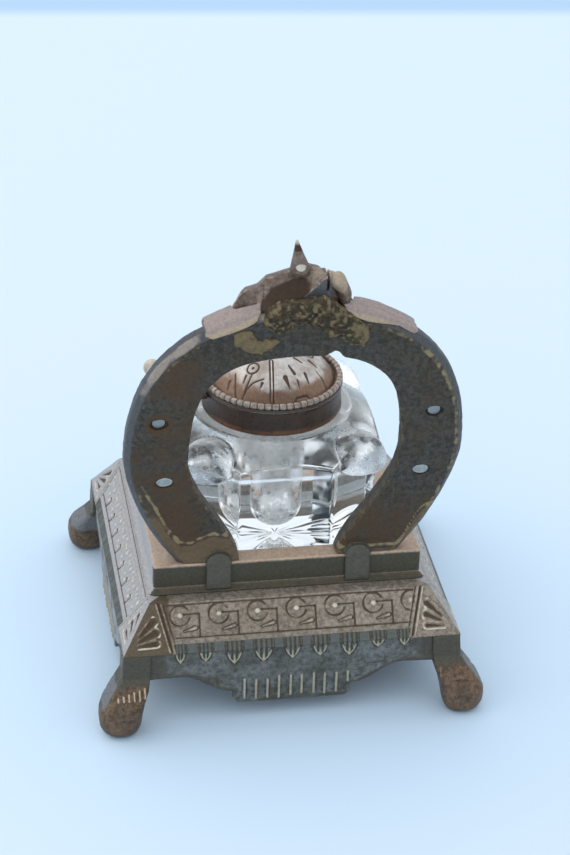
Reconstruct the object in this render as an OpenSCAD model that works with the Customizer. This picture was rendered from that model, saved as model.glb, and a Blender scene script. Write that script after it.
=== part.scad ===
// Desk inkstand: a cast metal stand on four splayed feet, a horseshoe standing on its rear wall,
// and a cut glass inkwell that lifts straight out and closes with a domed, hinged lid.
// The front faces -Y, the horseshoe stands at +Y, and the feet rest on Z = 0.

/* [Stand] */
// Margin of the stand's top plate round the gallery's foot
top_margin = 0.2; // [0.1:0.1:2]
// Height of the frieze's foot above the table
frieze_z = 22.2; // [20.2:0.5:28.2]
// Height of the sloping frieze
frieze_h = 11.5; // [9:0.5:14]
// How far each side of the frieze leans in
frieze_in = 7.8; // [5:0.2:8.4]
// Wall of the stand's hollow casting
stand_wall = 2.2; // [1.6:0.1:3]

/* [Aprons] */
// Thickness of the four apron plates
apron_t = 2.2; // [1.4:0.1:3]
// How far the aprons stand in from the frieze's edge
apron_in = 0.8; // [0.2:0.1:2]
// Depth of the apron beside the feet
apron_end_drop = 8; // [6:0.5:10]
// Depth of the apron where its curve meets the centre panel
apron_mid_drop = 13.7; // [11:0.5:15]
// Depth of the apron's centre panel
panel_drop = 17.6; // [15.5:0.5:19]
// Width of the apron's centre panel
panel_w = 31.6; // [24:0.5:36]

/* [Feet] */
// Width of a foot where it meets the frieze's corner
foot_top_w = 7.6; // [6:0.2:9]
// Diameter of a foot's pad
pad_d = 13.3; // [10:0.5:16]
// Height of a foot's pad
pad_h = 4.6; // [3:0.2:6]
// How far the middle of a pad lies outside the middle of the foot's top, along X and Y
splay = 4; // [2:0.2:6]

/* [Gallery] */
// Thickness of the gallery's walls at the left and right
side_wall = 8.2; // [6:0.2:10]
// Thickness of the gallery's walls at the front and rear
end_wall = 5.5; // [5.3:0.1:7]
// Height of the gallery's walls above the frieze
gallery_h = 8.4; // [7:0.2:11]
// Gap between the foot of the glass and the wall of its well
well_gap = 1.1; // [0.6:0.1:1.6]
// Thickness of the gallery's floor under the glass
floor_t = 2.4; // [1.6:0.2:3.2]
// Width of the cove round the gallery's foot
cove = 1.4; // [0.8:0.1:1.5]
// Diameter of the screws that hold the gallery down
screw_d = 2.4; // [2:0.1:3]
// How far the screws reach into the gallery
screw_bite = 5; // [3:0.5:6]

/* [Horseshoe] */
// Thickness of the horseshoe
shoe_t = 4.8; // [3.6:0.1:5]
// How far back the horseshoe leans, in degrees
lean = 8; // [4:0.5:9]
// How far the horseshoe tips sideways, in degrees
tip = 0.5; // [0:0.5:2]
// Half width of the horseshoe outside
shoe_out = 43.9; // [41.5:0.2:45.9]
// Half width of the horseshoe's opening
shoe_in = 27.5; // [25.5:0.2:28.9]
// Height of the widest place above the gallery, along the shoe
wide_s = 34.5; // [31:0.5:38]
// Height of the crown above the gallery, along the shoe
crown_s = 79; // [77:0.5:83]
// Height of the opening's top above the gallery, along the shoe
arch_s = 65.8; // [62:0.2:66.8]
// Outer edge of a heel, from the middle
heel_out = 29.4; // [28:0.2:31]
// Inner edge of a heel, from the middle
heel_in = 12.8; // [11:0.2:14]
// Depth of the fuller groove in the front face
groove_t = 1.1; // [0.6:0.1:1.6]
// Width of the bevel along the outer rear edge
bevel = 1.8; // [0.8:0.1:2.4]
// Width of the two lugs that grip the rear wall
lug_w = 6.6; // [5:0.2:8]
// Thickness of a lug behind the rear wall
lug_t = 1.2; // [0.8:0.1:1.6]
// Distance of a lug's middle from the middle of the shoe
lug_x = 18.5; // [18.1:0.2:22.1]

/* [Nails and pen hooks] */
// Diameter of the nails and of the hooks' shanks
nail_d = 3.2; // [2.4:0.1:3.6]
// Diameter of the nails' and hooks' heads in front
nail_head_d = 5; // [4.2:0.1:5.2]
// Distance of a lower nail from the middle
nail_x = 33.4; // [32.6:0.1:34]
// Height of a lower nail above the gallery, along the shoe
nail_s = 27.6; // [24:0.2:30]
// Distance of a pen hook from the middle
hook_x = 35.3; // [34.8:0.1:36]
// Height of a pen hook above the gallery, along the shoe
hook_s = 46.6; // [43:0.2:50]
// Diameter of a pen hook's rod
hook_d = 2.6; // [2:0.1:3]
// Reach of a pen hook in front of the shoe
hook_reach = 12; // [10:0.5:14]
// Radius of a pen hook's bend
hook_bend = 3.4; // [2.4:0.1:4]
// Diameter of the ball on a pen hook's end
ball_d = 4.4; // [3.6:0.1:5]

/* [Crest] */
// How far the horse's head stands in front of the shoe
crest_proud = 6.5; // [5:0.5:8]
// Wall of the horse's hollow head
crest_wall = 1.8; // [1.2:0.1:2.4]
// Length of the upright ear
ear_h = 10; // [7:0.2:11]
// Length of the horse's head, from neck to muzzle
head_w = 31.8; // [28:0.2:34]
// How far the middle of the head stands to the right of the crown
head_x = 0; // [-1:0.2:2]
// Radius of the ear's root
ear_r = 2.6; // [2:0.1:3]
// Thickness of the solder behind the crown
solder_t = 1; // [0.6:0.1:1.4]

/* [Glass] */
// Width of the glass body at its foot
glass_w = 52.6; // [50:0.2:53.6]
// How much wider the glass body is under its shoulder
glass_flare = 1.6; // [0:0.2:2.4]
// Height of the glass body up to its shoulder
glass_h = 26.6; // [24:0.2:30]
// How far the shoulder stands out from the foot of the glass
shoulder_out = 1.3; // [1:0.1:1.7]
// Height of the shoulder's upright band
band_h = 4.2; // [3:0.2:5]
// Height of the shoulder's slope above the band
slope_h = 4; // [3.2:0.1:5]
// Radius of the four lobes on the shoulder's corners
lobe_r = 7; // [5.6:0.1:7.2]
// How far a lobe's middle stands in from the shoulder's flats
lobe_in = 6.6; // [6.4:0.1:7.6]
// Diameter of the ink's bore
bore_d = 14; // [12:0.5:16]
// Diameter of the mouth
mouth_d = 22; // [18:0.5:23]
// Thickness of glass under the bore
glass_foot = 3; // [2.5:0.5:6]

/* [Collar and lid] */
// Outside diameter of the collar
collar_d = 37.8; // [36:0.2:40]
// Height of the collar
collar_h = 6.5; // [5.5:0.1:8]
// Wall of the collar
collar_t = 1.3; // [1:0.1:1.6]
// Thickness of the cement between the glass neck and the collar
cement_t = 1.1; // [0.6:0.1:1.4]
// Height of the lid's dome above its rim
dome_h = 9.2; // [7:0.2:12]
// Thickness of the lid
lid_t = 1; // [0.8:0.1:1.4]
// Diameter of the beaded wire round the lid
bead_d = 1.8; // [1.4:0.1:2]
// Gap between the closed lid and the collar
lid_gap = 0.2; // [0.15:0.05:0.4]
// Diameter of the hinge pin
pin_d = 1.6; // [1.2:0.1:1.8]
// Outside diameter of the hinge's barrels
barrel_d = 3.4; // [3:0.1:3.8]
// Length of the whole hinge
hinge_w = 12; // [10:0.5:15]
// Radial clearance of the pin in the lid's barrel
pin_gap = 0.05; // [0.03:0.01:0.08]
// Gap between neighbouring barrels
barrel_gap = 0.25; // [0.2:0.05:0.4]

/* [Hidden] */
$fn = 48;

well_w = glass_w + 2 * well_gap;
gallery_w = well_w + 2 * side_wall;
gallery_d = well_w + 2 * end_wall;
stand_top_w = gallery_w + 2 * (cove + top_margin);
base_w = stand_top_w + 2 * frieze_in;
plate_z = frieze_z + frieze_h;
ledge_z = plate_z + gallery_h;
apron_face = base_w / 2 - apron_in;
foot_top_c = base_w / 2 - foot_top_w / 2;
pad_c = foot_top_c + splay;
foot_slot = foot_top_w * 0.35;
apron_half = base_w / 2 - foot_top_w + foot_slot;

wall_rear = gallery_d / 2;
ledge_x = (gallery_w + well_w) / 4;
screw_y = well_w / 2 - screw_d;
screw_head_h = 1.6;
screw_head_d = 2 * screw_d;
screw_fit = 0.05;

shoe_set = 0.2;
shoe_y = well_w / 2 - shoe_set;
heel_flare = 0.8;
heel_flare_s = 4;
front_bevel = 0.5;
shoe_cut = 3;
lug_lift = 0.5;
pin_hold = 0.02;
nail_fit = 0.05;
nail_head_h = 1.2;
nail_sink = 1;
leg_steps = 24;

glass_z = plate_z + floor_t;
shoulder_w = glass_w + 2 * shoulder_out;
lobe_c = shoulder_w / 2 - lobe_in;
shoulder_z = glass_z + glass_h;
band_z = shoulder_z + band_h;
collar_z = band_z + slope_h;
collar_top = collar_z + collar_h;
collar_in_d = collar_d - 2 * collar_t;
neck_d = collar_in_d - 2 * cement_t;
flange_t = 0.7;
flange_gap = 0.1;
rim_h = 1;
rim_z = collar_top + lid_gap;
bead_sink = 0.2;
bead_gap = 0.1;
lid_foot_r = collar_d / 2 - bead_d - bead_gap;
dome_r = (pow(lid_foot_r, 2) + dome_h * dome_h) / (2 * dome_h);
dome_c = rim_z + rim_h + dome_h - dome_r;
hinge_x = collar_d / 2 + barrel_d / 2 + 0.7;
hinge_z = collar_top + 0.3;
barrel_w = (hinge_w - 2 * barrel_gap) / 3;

// A point on a cubic curve through four control points
function curve(p, t) = pow(1 - t, 3) * p[0] + 3 * t * pow(1 - t, 2) * p[1]
    + 3 * t * t * (1 - t) * p[2] + pow(t, 3) * p[3];

// Half of the shoe's outer edge: from the crown (a = 0) over the widest place (a = 0.5) to the heel (a = 1)
out_rise = crown_s - wide_s;
function outer_edge(a) = a <= 0.5
    ? curve([[0, crown_s], [shoe_out * 0.57, crown_s], [shoe_out, wide_s + out_rise * 0.72],
             [shoe_out, wide_s]], 2 * a)
    : curve([[shoe_out, wide_s], [shoe_out, wide_s * 0.8], [heel_out + 9, wide_s * 0.29],
             [heel_out, 0]], 2 * a - 1);

// Half of the opening's edge, in the same order
in_rise = arch_s - wide_s;
function inner_edge(a) = a <= 0.5
    ? curve([[0, arch_s], [shoe_in * 0.72, arch_s], [shoe_in, wide_s + in_rise * 0.79],
             [shoe_in, wide_s]], 2 * a)
    : curve([[shoe_in, wide_s], [shoe_in, wide_s * 0.64], [heel_in + 0.7, wide_s * 0.25],
             [heel_in, 0]], 2 * a - 1);

// Octagon with its flats at +-half and its corners cut so that each flat is flat_w wide
module octagon(half, flat_w) {
    f = flat_w / 2;
    polygon([[half, -f], [half, f], [f, half], [-f, half], [-half, f], [-half, -f],
             [-f, -half], [f, -half]]);
}

module square_block(w, d, z, h) translate([-w / 2, -d / 2, z]) cube([w, d, h]);

// Frustum of a square between two widths
module square_frustum(w0, w1, z, h) {
    translate([0, 0, z]) linear_extrude(height = h, scale = w1 / w0) square(w0, center = true);
}

// Puts a shape drawn in the shoe's own frame (X, depth, height along the shoe) in its place
module on_shoe() translate([0, shoe_y, ledge_z]) rotate([-lean, -tip, 0]) children();

// A peg along the shoe's own depth, from depth w0 to w1
module shoe_peg(x, s, d, w0, w1) {
    translate([x, w0, s]) rotate([-90, 0, 0]) cylinder(d = d, h = w1 - w0);
}

module stand_top() color([0.43, 0.39, 0.34]) {
    lift = stand_wall * frieze_in / frieze_h;
    difference() {
        square_frustum(base_w, stand_top_w, frieze_z, frieze_h);
        translate([0, 0, -0.01])
            square_frustum(base_w - 2 * stand_wall, stand_top_w - 2 * stand_wall + 2 * lift,
                           frieze_z, frieze_h - stand_wall + 0.01);
        for (x = [-ledge_x, ledge_x], y = [-screw_y, screw_y])
            translate([x, y, frieze_z]) cylinder(d = screw_d + 0.3, h = frieze_h + 1);
    }
}

// The gallery's outside: upright walls with a cove round their foot
module gallery_block() {
    square_block(gallery_w, gallery_d, plate_z, gallery_h);
    hull() {
        square_block(gallery_w + 2 * cove, gallery_d + 2 * cove, plate_z, 0.2);
        square_block(gallery_w, gallery_d, plate_z, 0.2 + cove);
    }
}

module gallery() color([0.40, 0.37, 0.33]) difference() {
    gallery_block();
    square_block(well_w, well_w, glass_z, gallery_h);
    for (x = [-ledge_x, ledge_x], y = [-screw_y, screw_y])
        translate([x, y, plate_z - 0.01])
            cylinder(d = screw_d + 2 * screw_fit, h = screw_bite + 0.2);
}

module gallery_screws() color([0.35, 0.33, 0.30])
    for (x = [-ledge_x, ledge_x], y = [-screw_y, screw_y])
        translate([x, y, plate_z - stand_wall]) difference() {
            union() {
                cylinder(d = screw_d, h = stand_wall + screw_bite);
                translate([0, 0, -screw_head_h]) cylinder(d = screw_head_d, h = screw_head_h);
            }
            translate([-screw_head_d, -screw_d / 8, -screw_head_h - 0.01])
                cube([2 * screw_head_d, screw_d / 4, screw_head_h / 2]);
        }

// Outline of an apron, X across and the height below the frieze downwards
apron_curve = [for (i = [0:8]) curve([
    [base_w * 0.33, -apron_end_drop], [base_w * 0.27, -apron_end_drop],
    [panel_w / 2 + 6, -apron_mid_drop], [panel_w / 2, -apron_mid_drop]], i / 8)];
apron_half_outline = concat([[apron_half, 0], [apron_half, -apron_end_drop - 0.4]], apron_curve,
    [[panel_w / 2, -panel_drop + 1.3], [panel_w / 2 - 1.3, -panel_drop]]);
apron_outline = concat(apron_half_outline,
    [for (i = [len(apron_half_outline) - 1:-1:0]) let (p = apron_half_outline[i]) [-p[0], p[1]]]);

module apron_plate() color([0.39, 0.44, 0.47])
    translate([0, apron_face, frieze_z]) rotate([90, 0, 0])
        linear_extrude(height = apron_t) polygon(apron_outline);

module rear_apron() apron_plate();
module front_apron() rotate([0, 0, 180]) apron_plate();
module left_apron() rotate([0, 0, 90]) apron_plate();
module right_apron() rotate([0, 0, -90]) apron_plate();

module foot_post(z, h)
    translate([foot_top_c - foot_top_w / 2, foot_top_c - foot_top_w / 2, z])
        cube([foot_top_w, foot_top_w, h]);

// A post under the frieze's corner, then out and down to a round pad
module foot_leg() {
    foot_post(frieze_z - apron_end_drop, apron_end_drop);
    hull() {
        foot_post(frieze_z - apron_end_drop, 0.5);
        translate([pad_c, pad_c, pad_h * 0.3]) cylinder(d = pad_d, h = pad_h * 0.5);
        translate([pad_c, pad_c, pad_h * 0.3]) cylinder(d = pad_d * 0.86, h = pad_h * 0.7);
        translate([pad_c, pad_c, 0]) cylinder(d = pad_d * 0.8, h = pad_h);
    }
}

// The foot at +X +Y, slotted for the two aprons that meet in it
module foot() color([0.38, 0.33, 0.27]) difference() {
    foot_leg();
    apron_plate();
    rotate([0, 0, -90]) apron_plate();
}

module rear_right_foot() foot();
module rear_left_foot() rotate([0, 0, 90]) foot();
module front_left_foot() rotate([0, 0, 180]) foot();
module front_right_foot() rotate([0, 0, -90]) foot();

// Section of the shoe across its width: share of the width, offset in mm and depth from the front
function shoe_section(t) = [
    [0, 0, front_bevel], [0, front_bevel, 0], [0.34, 0, 0], [0.40, 0, groove_t],
    [0.60, 0, groove_t], [0.66, 0, 0], [1, -front_bevel, 0], [1, 0, front_bevel],
    [1, 0, t - bevel], [1, -bevel, t], [0, front_bevel, t], [0, 0, t - front_bevel]];
section_n = len(shoe_section(shoe_t));

// Ring of points across the shoe at station a, on the side sx
function shoe_ring(a, sx) = let (o = outer_edge(a), n = inner_edge(a), w = norm(o - n),
    t = shoe_t + heel_flare * max(0, 1 - o[1] / heel_flare_s))
    [for (q = shoe_section(t)) let (p = n + (o - n) * (q[0] + q[1] / w)) [sx * p[0], q[2], p[1]]];

// The heel carried down past the gallery's top, to be cut level with it
function dropped(ring) = [for (p = ring) [p[0], p[1], p[2] - shoe_cut]];

shoe_rings = concat([dropped(shoe_ring(1, -1))],
    [for (i = [leg_steps:-1:1]) shoe_ring(i / leg_steps, -1)],
    [for (i = [0:leg_steps]) shoe_ring(i / leg_steps, 1)],
    [dropped(shoe_ring(1, 1))]);
ring_n = len(shoe_rings);

module shoe_sweep() polyhedron(
    points = [for (r = shoe_rings) each r],
    faces = concat([[for (j = [section_n - 1:-1:0]) j]],
        [for (i = [0:ring_n - 2], j = [0:section_n - 1]) let (k = (j + 1) % section_n)
            each [[i * section_n + j, (i + 1) * section_n + k, (i + 1) * section_n + j],
                  [i * section_n + j, i * section_n + k, (i + 1) * section_n + k]]],
        [[for (j = [0:section_n - 1]) (ring_n - 1) * section_n + j]]));

module lug(x) {
    back = wall_rear + lug_t;
    difference() {
        translate([x - lug_w / 2, wall_rear, plate_z + lug_lift])
            cube([lug_w, lug_t, gallery_h - lug_lift]);
        gallery_block();
    }
    intersection() {
        translate([x, 0, ledge_z]) rotate([-90, 0, 0]) cylinder(d = lug_w, h = back);
        translate([x - lug_w / 2, shoe_y + shoe_t / 2, ledge_z])
            cube([lug_w, back - shoe_y - shoe_t / 2, lug_w / 2]);
    }
}

module horseshoe() color([0.28, 0.28, 0.27]) {
    difference() {
        on_shoe() difference() {
            shoe_sweep();
            for (p = [[nail_x, nail_s], [hook_x, hook_s]], sx = [-1, 1]) {
                shoe_peg(sx * p[0], p[1], nail_d + 2 * nail_fit, -1, shoe_t + 1);
                shoe_peg(sx * p[0], p[1], nail_head_d + 2 * nail_fit, -1, groove_t);
            }
        }
        translate([-base_w, 0, ledge_z - base_w]) cube([2 * base_w, base_w, base_w]);
    }
    lug(lug_x);
    lug(-lug_x);
}

// Shank in the shoe with a round head in the groove
module headed_shank(x, s) {
    shoe_peg(x, s, nail_d, groove_t, shoe_t - nail_sink);
    shoe_peg(x, s, nail_head_d, groove_t - nail_head_h, groove_t);
}

module horseshoe_nails() color([0.45, 0.46, 0.45]) on_shoe()
    for (sx = [-1, 1]) headed_shank(sx * nail_x, nail_s);

module pen_hook(x) color([0.62, 0.55, 0.44]) on_shoe() {
    headed_shank(x, hook_s);
    straight = hook_reach - hook_bend;
    shoe_peg(x, hook_s, hook_d, -straight, groove_t);
    translate([x, -straight, hook_s + hook_bend]) rotate([90, 0, -90])
        rotate_extrude(angle = -90) translate([hook_bend, 0]) circle(d = hook_d);
    translate([x, -hook_reach, hook_s + hook_bend]) cylinder(d = hook_d, h = ball_d / 2);
    translate([x, -hook_reach, hook_s + hook_bend + ball_d / 2]) sphere(d = ball_d);
}
module left_pen_hook() pen_hook(-hook_x);
module right_pen_hook() pen_hook(hook_x);

// The horse's head in profile, nose towards +X, in hundredths of its length from the crown
crown_c = [head_x, crown_s];
head_outline = [for (p = [
    [-23.5, -42], [-42, -28.5], [-44.5, -8.5], [-37, 4.5], [-30, 12], [-24.5, 16.5], [-15.5, 19.5],
    [-7, 24], [8.5, 20], [25.5, 14.5], [35, 8], [46, 2], [53.5, -7], [55.5, -19.5], [51, -23],
    [39, -24], [26, -25], [13, -31], [0, -41]]) crown_c + p * head_w / 100];
hollow_c = crown_c + [0.065 * head_w, 0];
hollow_outline = [for (p = head_outline) let (q = p - hollow_c)
    hollow_c + [q[0] * (1 - 2.6 * crest_wall / head_w), q[1] * (1 - 3.4 * crest_wall / head_w)]];

// Two leaves that run down the shoe's shoulders beside the head
leaf_from = 0.07;
leaf_to = 0.27;
leaf_rise = 1.2;
leaf_proud = 0.6;
function leaf_point(i) = outer_edge(leaf_from + (leaf_to - leaf_from) * i / 6);
function leaf_outline(sx) = concat(
    [for (i = [0:6]) let (p = leaf_point(i)) [sx * p[0], p[1] - 1]],
    [for (i = [6:-1:0]) let (p = leaf_point(i)) [sx * p[0], p[1] + 0.2 + leaf_rise * (1 - i / 6)]]);

// An outline drawn over the shoe's front, from depth w0 to w1
module shoe_depth(w0, w1)
    translate([0, w1, 0]) rotate([90, 0, 0]) linear_extrude(height = w1 - w0) children();

// What the shoe fills, without its opening
shoe_fill = concat([for (i = [0:12]) outer_edge(i / 24)],
    [for (i = [12:-1:0]) let (p = outer_edge(i / 24)) [-p[0], p[1]]]);

module crest() color([0.42, 0.35, 0.31]) on_shoe() {
    difference() {
        union() {
            shoe_depth(-crest_proud, shoe_t - 0.4) polygon(head_outline);
            for (sx = [-1, 1]) shoe_depth(-leaf_proud, shoe_t) polygon(leaf_outline(sx));
        }
        shoe_depth(0, shoe_t + 1) polygon(shoe_fill);
        shoe_depth(-crest_proud + crest_wall, shoe_t + 1) polygon(hollow_outline);
    }
    translate([head_x + 0.035 * head_w, -crest_proud * 0.4, crown_s + 0.2 * head_w])
        cylinder(r1 = ear_r, r2 = ear_r * 0.15, h = ear_h);
}

// Solder run in behind the crown, as overlapping pools: middle and radius of each, in hundredths
// of the head's length
solder_pools = [[24.5, -9, 9.2], [11, -3, 10], [-5, -2.5, 10], [-19, -7.5, 12], [-33.5, -13, 14.5],
    [-43.5, -22, 12.5], [51.5, -20.5, 6], [49, -29, 7.2], [39, -33, 6.4], [28, -32.5, 6],
    [29.5, -22, 5.2], [26, -16, 6]];
module crest_solder() color([0.42, 0.36, 0.22]) on_shoe()
    for (p = solder_pools * head_w / 100)
        shoe_peg(head_x + p[0], crown_s + p[1], 2 * p[2], shoe_t, shoe_t + solder_t);

// Half section of a lobe: a round bead, a little flatter than a ball
lobe_profile = [for (i = [0:12]) let (a = 15 * i - 90) [lobe_r * cos(a), lobe_r * 0.86 * sin(a)]];

module glass_inkwell() color([0.80, 0.88, 0.92, 0.5]) difference() {
    union() {
        hull() {
            translate([0, 0, glass_z]) linear_extrude(height = 0.1)
                octagon(glass_w / 2, glass_w * 0.47);
            translate([0, 0, shoulder_z]) linear_extrude(height = 0.1)
                octagon((glass_w + glass_flare) / 2, glass_w * 0.53);
        }
        translate([0, 0, shoulder_z]) linear_extrude(height = band_h)
            octagon(shoulder_w / 2, glass_w * 0.53);
        hull() {
            translate([0, 0, band_z - 0.1]) linear_extrude(height = 0.1)
                octagon(shoulder_w / 2, glass_w * 0.53);
            translate([0, 0, band_z]) cylinder(r = shoulder_w / 2 - 4, h = slope_h * 0.6);
            translate([0, 0, collar_z - 0.1]) cylinder(d = collar_d, h = 0.1);
        }
        for (x = [-lobe_c, lobe_c], y = [-lobe_c, lobe_c])
            translate([x, y, shoulder_z + lobe_r * 0.5]) rotate_extrude() polygon(lobe_profile);
        translate([0, 0, collar_z - 1]) cylinder(d = neck_d, h = collar_h + 1 - flange_t - flange_gap);
    }
    translate([0, 0, glass_z + glass_foot + bore_d / 2]) sphere(d = bore_d);
    translate([0, 0, glass_z + glass_foot + bore_d / 2]) cylinder(d = bore_d, h = collar_top - glass_z);
    translate([0, 0, shoulder_z]) cylinder(d1 = bore_d, d2 = mouth_d, h = band_h);
    translate([0, 0, band_z]) cylinder(d = mouth_d, h = collar_top - band_z + 1);
}

module ring(d_out, d_in, z, h) translate([0, 0, z]) difference() {
    cylinder(d = d_out, h = h);
    translate([0, 0, -1]) cylinder(d = d_in, h = h + 2);
}

module neck_cement() color([0.78, 0.74, 0.66])
    ring(collar_in_d, neck_d, collar_z, collar_h - flange_t - flange_gap);

// A barrel of the hinge from y0, w long, with an arm back to the collar or the lid
module barrel(y0, w, arm_z, arm_h, bore) {
    difference() {
        union() {
            translate([hinge_x, y0, hinge_z]) rotate([-90, 0, 0]) cylinder(d = barrel_d, h = w);
            translate([collar_d / 2 - collar_t * 0.7, y0, arm_z])
                cube([hinge_x - collar_d / 2 + collar_t * 0.7, w, arm_h]);
        }
        translate([hinge_x, y0 - 1, hinge_z]) rotate([-90, 0, 0]) cylinder(d = bore, h = w + 2);
    }
}

module collar() color([0.17, 0.14, 0.13]) {
    ring(collar_d, collar_in_d, collar_z, collar_h);
    ring(collar_in_d + 0.2, mouth_d, collar_top - flange_t, flange_t);
    arm_h = barrel_d / 2 - 0.3;
    for (y0 = [-hinge_w / 2, hinge_w / 2 - barrel_w])
        barrel(y0, barrel_w, hinge_z - barrel_d / 2, arm_h, pin_d + 2 * pin_hold);
}

module hinge_pin() color([0.50, 0.46, 0.38])
    translate([hinge_x, -hinge_w / 2 - 0.3, hinge_z]) rotate([-90, 0, 0])
        cylinder(d = pin_d, h = hinge_w + 0.6);

// Half section of the lid: rim, dome outside, and the same dome less the wall inside
dome_steps = 16;
dome_edge = asin(lid_foot_r / dome_r);
function dome_profile(r, a) = [r * sin(a), dome_c + r * cos(a)];
inner_edge_a = asin((lid_foot_r - lid_t) / (dome_r - lid_t));
lid_profile = concat(
    [for (i = [0:dome_steps]) dome_profile(dome_r, dome_edge * i / dome_steps)],
    [[collar_d / 2, rim_z + rim_h], [collar_d / 2, rim_z], [lid_foot_r - 2 * lid_t, rim_z],
     [lid_foot_r - 2 * lid_t, rim_z + rim_h]],
    [for (i = [dome_steps:-1:0]) dome_profile(dome_r - lid_t, inner_edge_a * i / dome_steps)]);

module lid() color([0.45, 0.33, 0.27]) {
    rotate_extrude() polygon(lid_profile);
    barrel(-barrel_w / 2, barrel_w, hinge_z + 0.2, rim_z + rim_h - hinge_z - 0.2, pin_d + 2 * pin_gap);
}

// A ring of beaded wire, filed flat where it is soldered on the rim
module lid_beading() color([0.66, 0.60, 0.50])
    rotate_extrude() translate([collar_d / 2 - bead_d / 2, rim_z + rim_h]) intersection() {
        translate([0, bead_d / 2 - bead_sink]) circle(d = bead_d);
        translate([-bead_d, 0]) square(2 * bead_d);
    }

stand_top();
gallery();
front_apron();
rear_apron();
left_apron();
right_apron();
front_left_foot();
front_right_foot();
rear_left_foot();
rear_right_foot();
gallery_screws();
horseshoe();
horseshoe_nails();
left_pen_hook();
right_pen_hook();
crest();
crest_solder();
glass_inkwell();
neck_cement();
collar();
hinge_pin();
lid();
lid_beading();
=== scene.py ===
"""A desk inkstand: cast stand on four feet, horseshoe pen rest with a horse's head, cut glass inkwell
with a domed copper lid. Lengths in the functions are millimetres; meshes are written in metres."""

import math

import bpy
import numpy as np
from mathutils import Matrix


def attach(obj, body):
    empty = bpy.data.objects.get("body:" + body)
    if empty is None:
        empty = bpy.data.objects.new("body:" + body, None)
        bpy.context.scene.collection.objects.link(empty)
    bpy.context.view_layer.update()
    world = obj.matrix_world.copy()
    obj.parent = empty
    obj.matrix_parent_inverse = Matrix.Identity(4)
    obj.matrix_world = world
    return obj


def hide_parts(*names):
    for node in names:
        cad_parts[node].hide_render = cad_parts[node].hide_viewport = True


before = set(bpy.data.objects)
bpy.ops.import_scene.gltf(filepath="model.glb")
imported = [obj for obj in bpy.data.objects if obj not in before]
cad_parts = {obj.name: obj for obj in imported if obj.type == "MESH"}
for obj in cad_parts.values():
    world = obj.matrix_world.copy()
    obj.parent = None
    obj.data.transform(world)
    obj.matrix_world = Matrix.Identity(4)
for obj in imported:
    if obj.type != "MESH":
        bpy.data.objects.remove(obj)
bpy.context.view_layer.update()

import openvdb
from mathutils import Matrix, Vector

MM = 0.001

# ---------------------------------------------------------------- sizes, as the model has them
FRIEZE_Z, PLATE_Z, LEDGE_Z, WELL_Z = 22.2, 33.7, 42.1, 36.1
FRIEZE_HALF, PLATE_HALF = 45.0, 37.2
SLOPE = math.hypot(PLATE_Z - FRIEZE_Z, FRIEZE_HALF - PLATE_HALF)
GALLERY_X, GALLERY_Y, WELL_HALF = 35.6, 32.9, 27.4
APRON_FACE, APRON_T = 44.2, 2.2
SHOE_T, SHOE_LEAN, SHOE_TIP = 4.8, math.radians(8), math.radians(0.5)
SHOE_AT = (0.0, 27.2, 42.1)
SHOULDER_Z, BAND_Z, COLLAR_Z, COLLAR_TOP = 62.7, 66.9, 70.9, 77.4
LID_RIM_TOP, DOME_FOOT_R = 78.6, 17.0
DOME_R, DOME_C = 20.3, 67.5
HINGE_X, HINGE_Z = 21.3, 77.7
BORE_R, LUG_X = 7.0, 18.5
# On the horseshoe: how far across and how far up it the nails and the hooks are
NAIL_AT, HOOK_AT = (33.4, 27.6), (35.3, 46.6)
DIAGONAL = 0.7071


# ---------------------------------------------------------------- distances and noise
def blend_in(a, b, k):
    """Union of two distances, rounded over k mm."""
    h = np.clip(0.5 + 0.5 * (b - a) / k, 0, 1)
    return b + (a - b) * h - k * h * (1 - h)


def cut_to(a, b, k):
    """What two distances have in common, rounded over k mm."""
    return -blend_in(-a, -b, k)


def ease(x, low, high):
    """0 up to low, 1 from high, and smooth between them."""
    t = np.clip((x - low) / (high - low), 0, 1)
    return t * t * (3 - 2 * t)


def lattice(x, y, z, seed):
    """A fixed random number from -1 to 1 for each whole place."""
    n = (x * 73856093) ^ (y * 19349663) ^ (z * 83492791) ^ (seed * 2654435761)
    n = (n ^ (n >> 13)) * 1274126177 & 0x7FFFFFFF
    return (n ^ (n >> 16)) % 65536 / 32768.0 - 1.0


def cast_grain(x, y, z, size, seed=1):
    """Smooth random waves about size mm long, from -1 to 1."""
    q = [np.asarray(v, float) / size + 100 for v in np.broadcast_arrays(x, y, z)]
    i = [np.floor(v).astype(np.int64) for v in q]
    f = [(v - k) ** 2 * (3 - 2 * (v - k)) for v, k in zip(q, i)]
    total = 0
    for a in (0, 1):
        for b in (0, 1):
            for c in (0, 1):
                weight = (f[0] if a else 1 - f[0]) * (f[1] if b else 1 - f[1]) * (f[2] if c else 1 - f[2])
                total = total + weight * lattice(i[0] + a, i[1] + b, i[2] + c, seed)
    return total


def rod(x, y, ends, r0, r1=None):
    """Distance to a flat rod between two points, r0 thick at the first and r1 at the second."""
    (ax, ay), (bx, by) = ends
    ex, ey = bx - ax, by - ay
    t = np.clip(((x - ax) * ex + (y - ay) * ey) / (ex * ex + ey * ey + 1e-9), 0, 1)
    return np.hypot(x - ax - ex * t, y - ay - ey * t) - (r0 + ((r1 if r1 is not None else r0) - r0) * t)


def bar(x, y, z, a, b, r0, r1):
    """Distance to a round bar from a to b that tapers from r0 to r1."""
    e = np.subtract(b, a)
    t = np.clip(((x - a[0]) * e[0] + (y - a[1]) * e[1] + (z - a[2]) * e[2]) / (e @ e), 0, 1)
    return np.sqrt((x - a[0] - e[0] * t) ** 2 + (y - a[1] - e[1] * t) ** 2
                   + (z - a[2] - e[2] * t) ** 2) - (r0 + (r1 - r0) * t)


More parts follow.
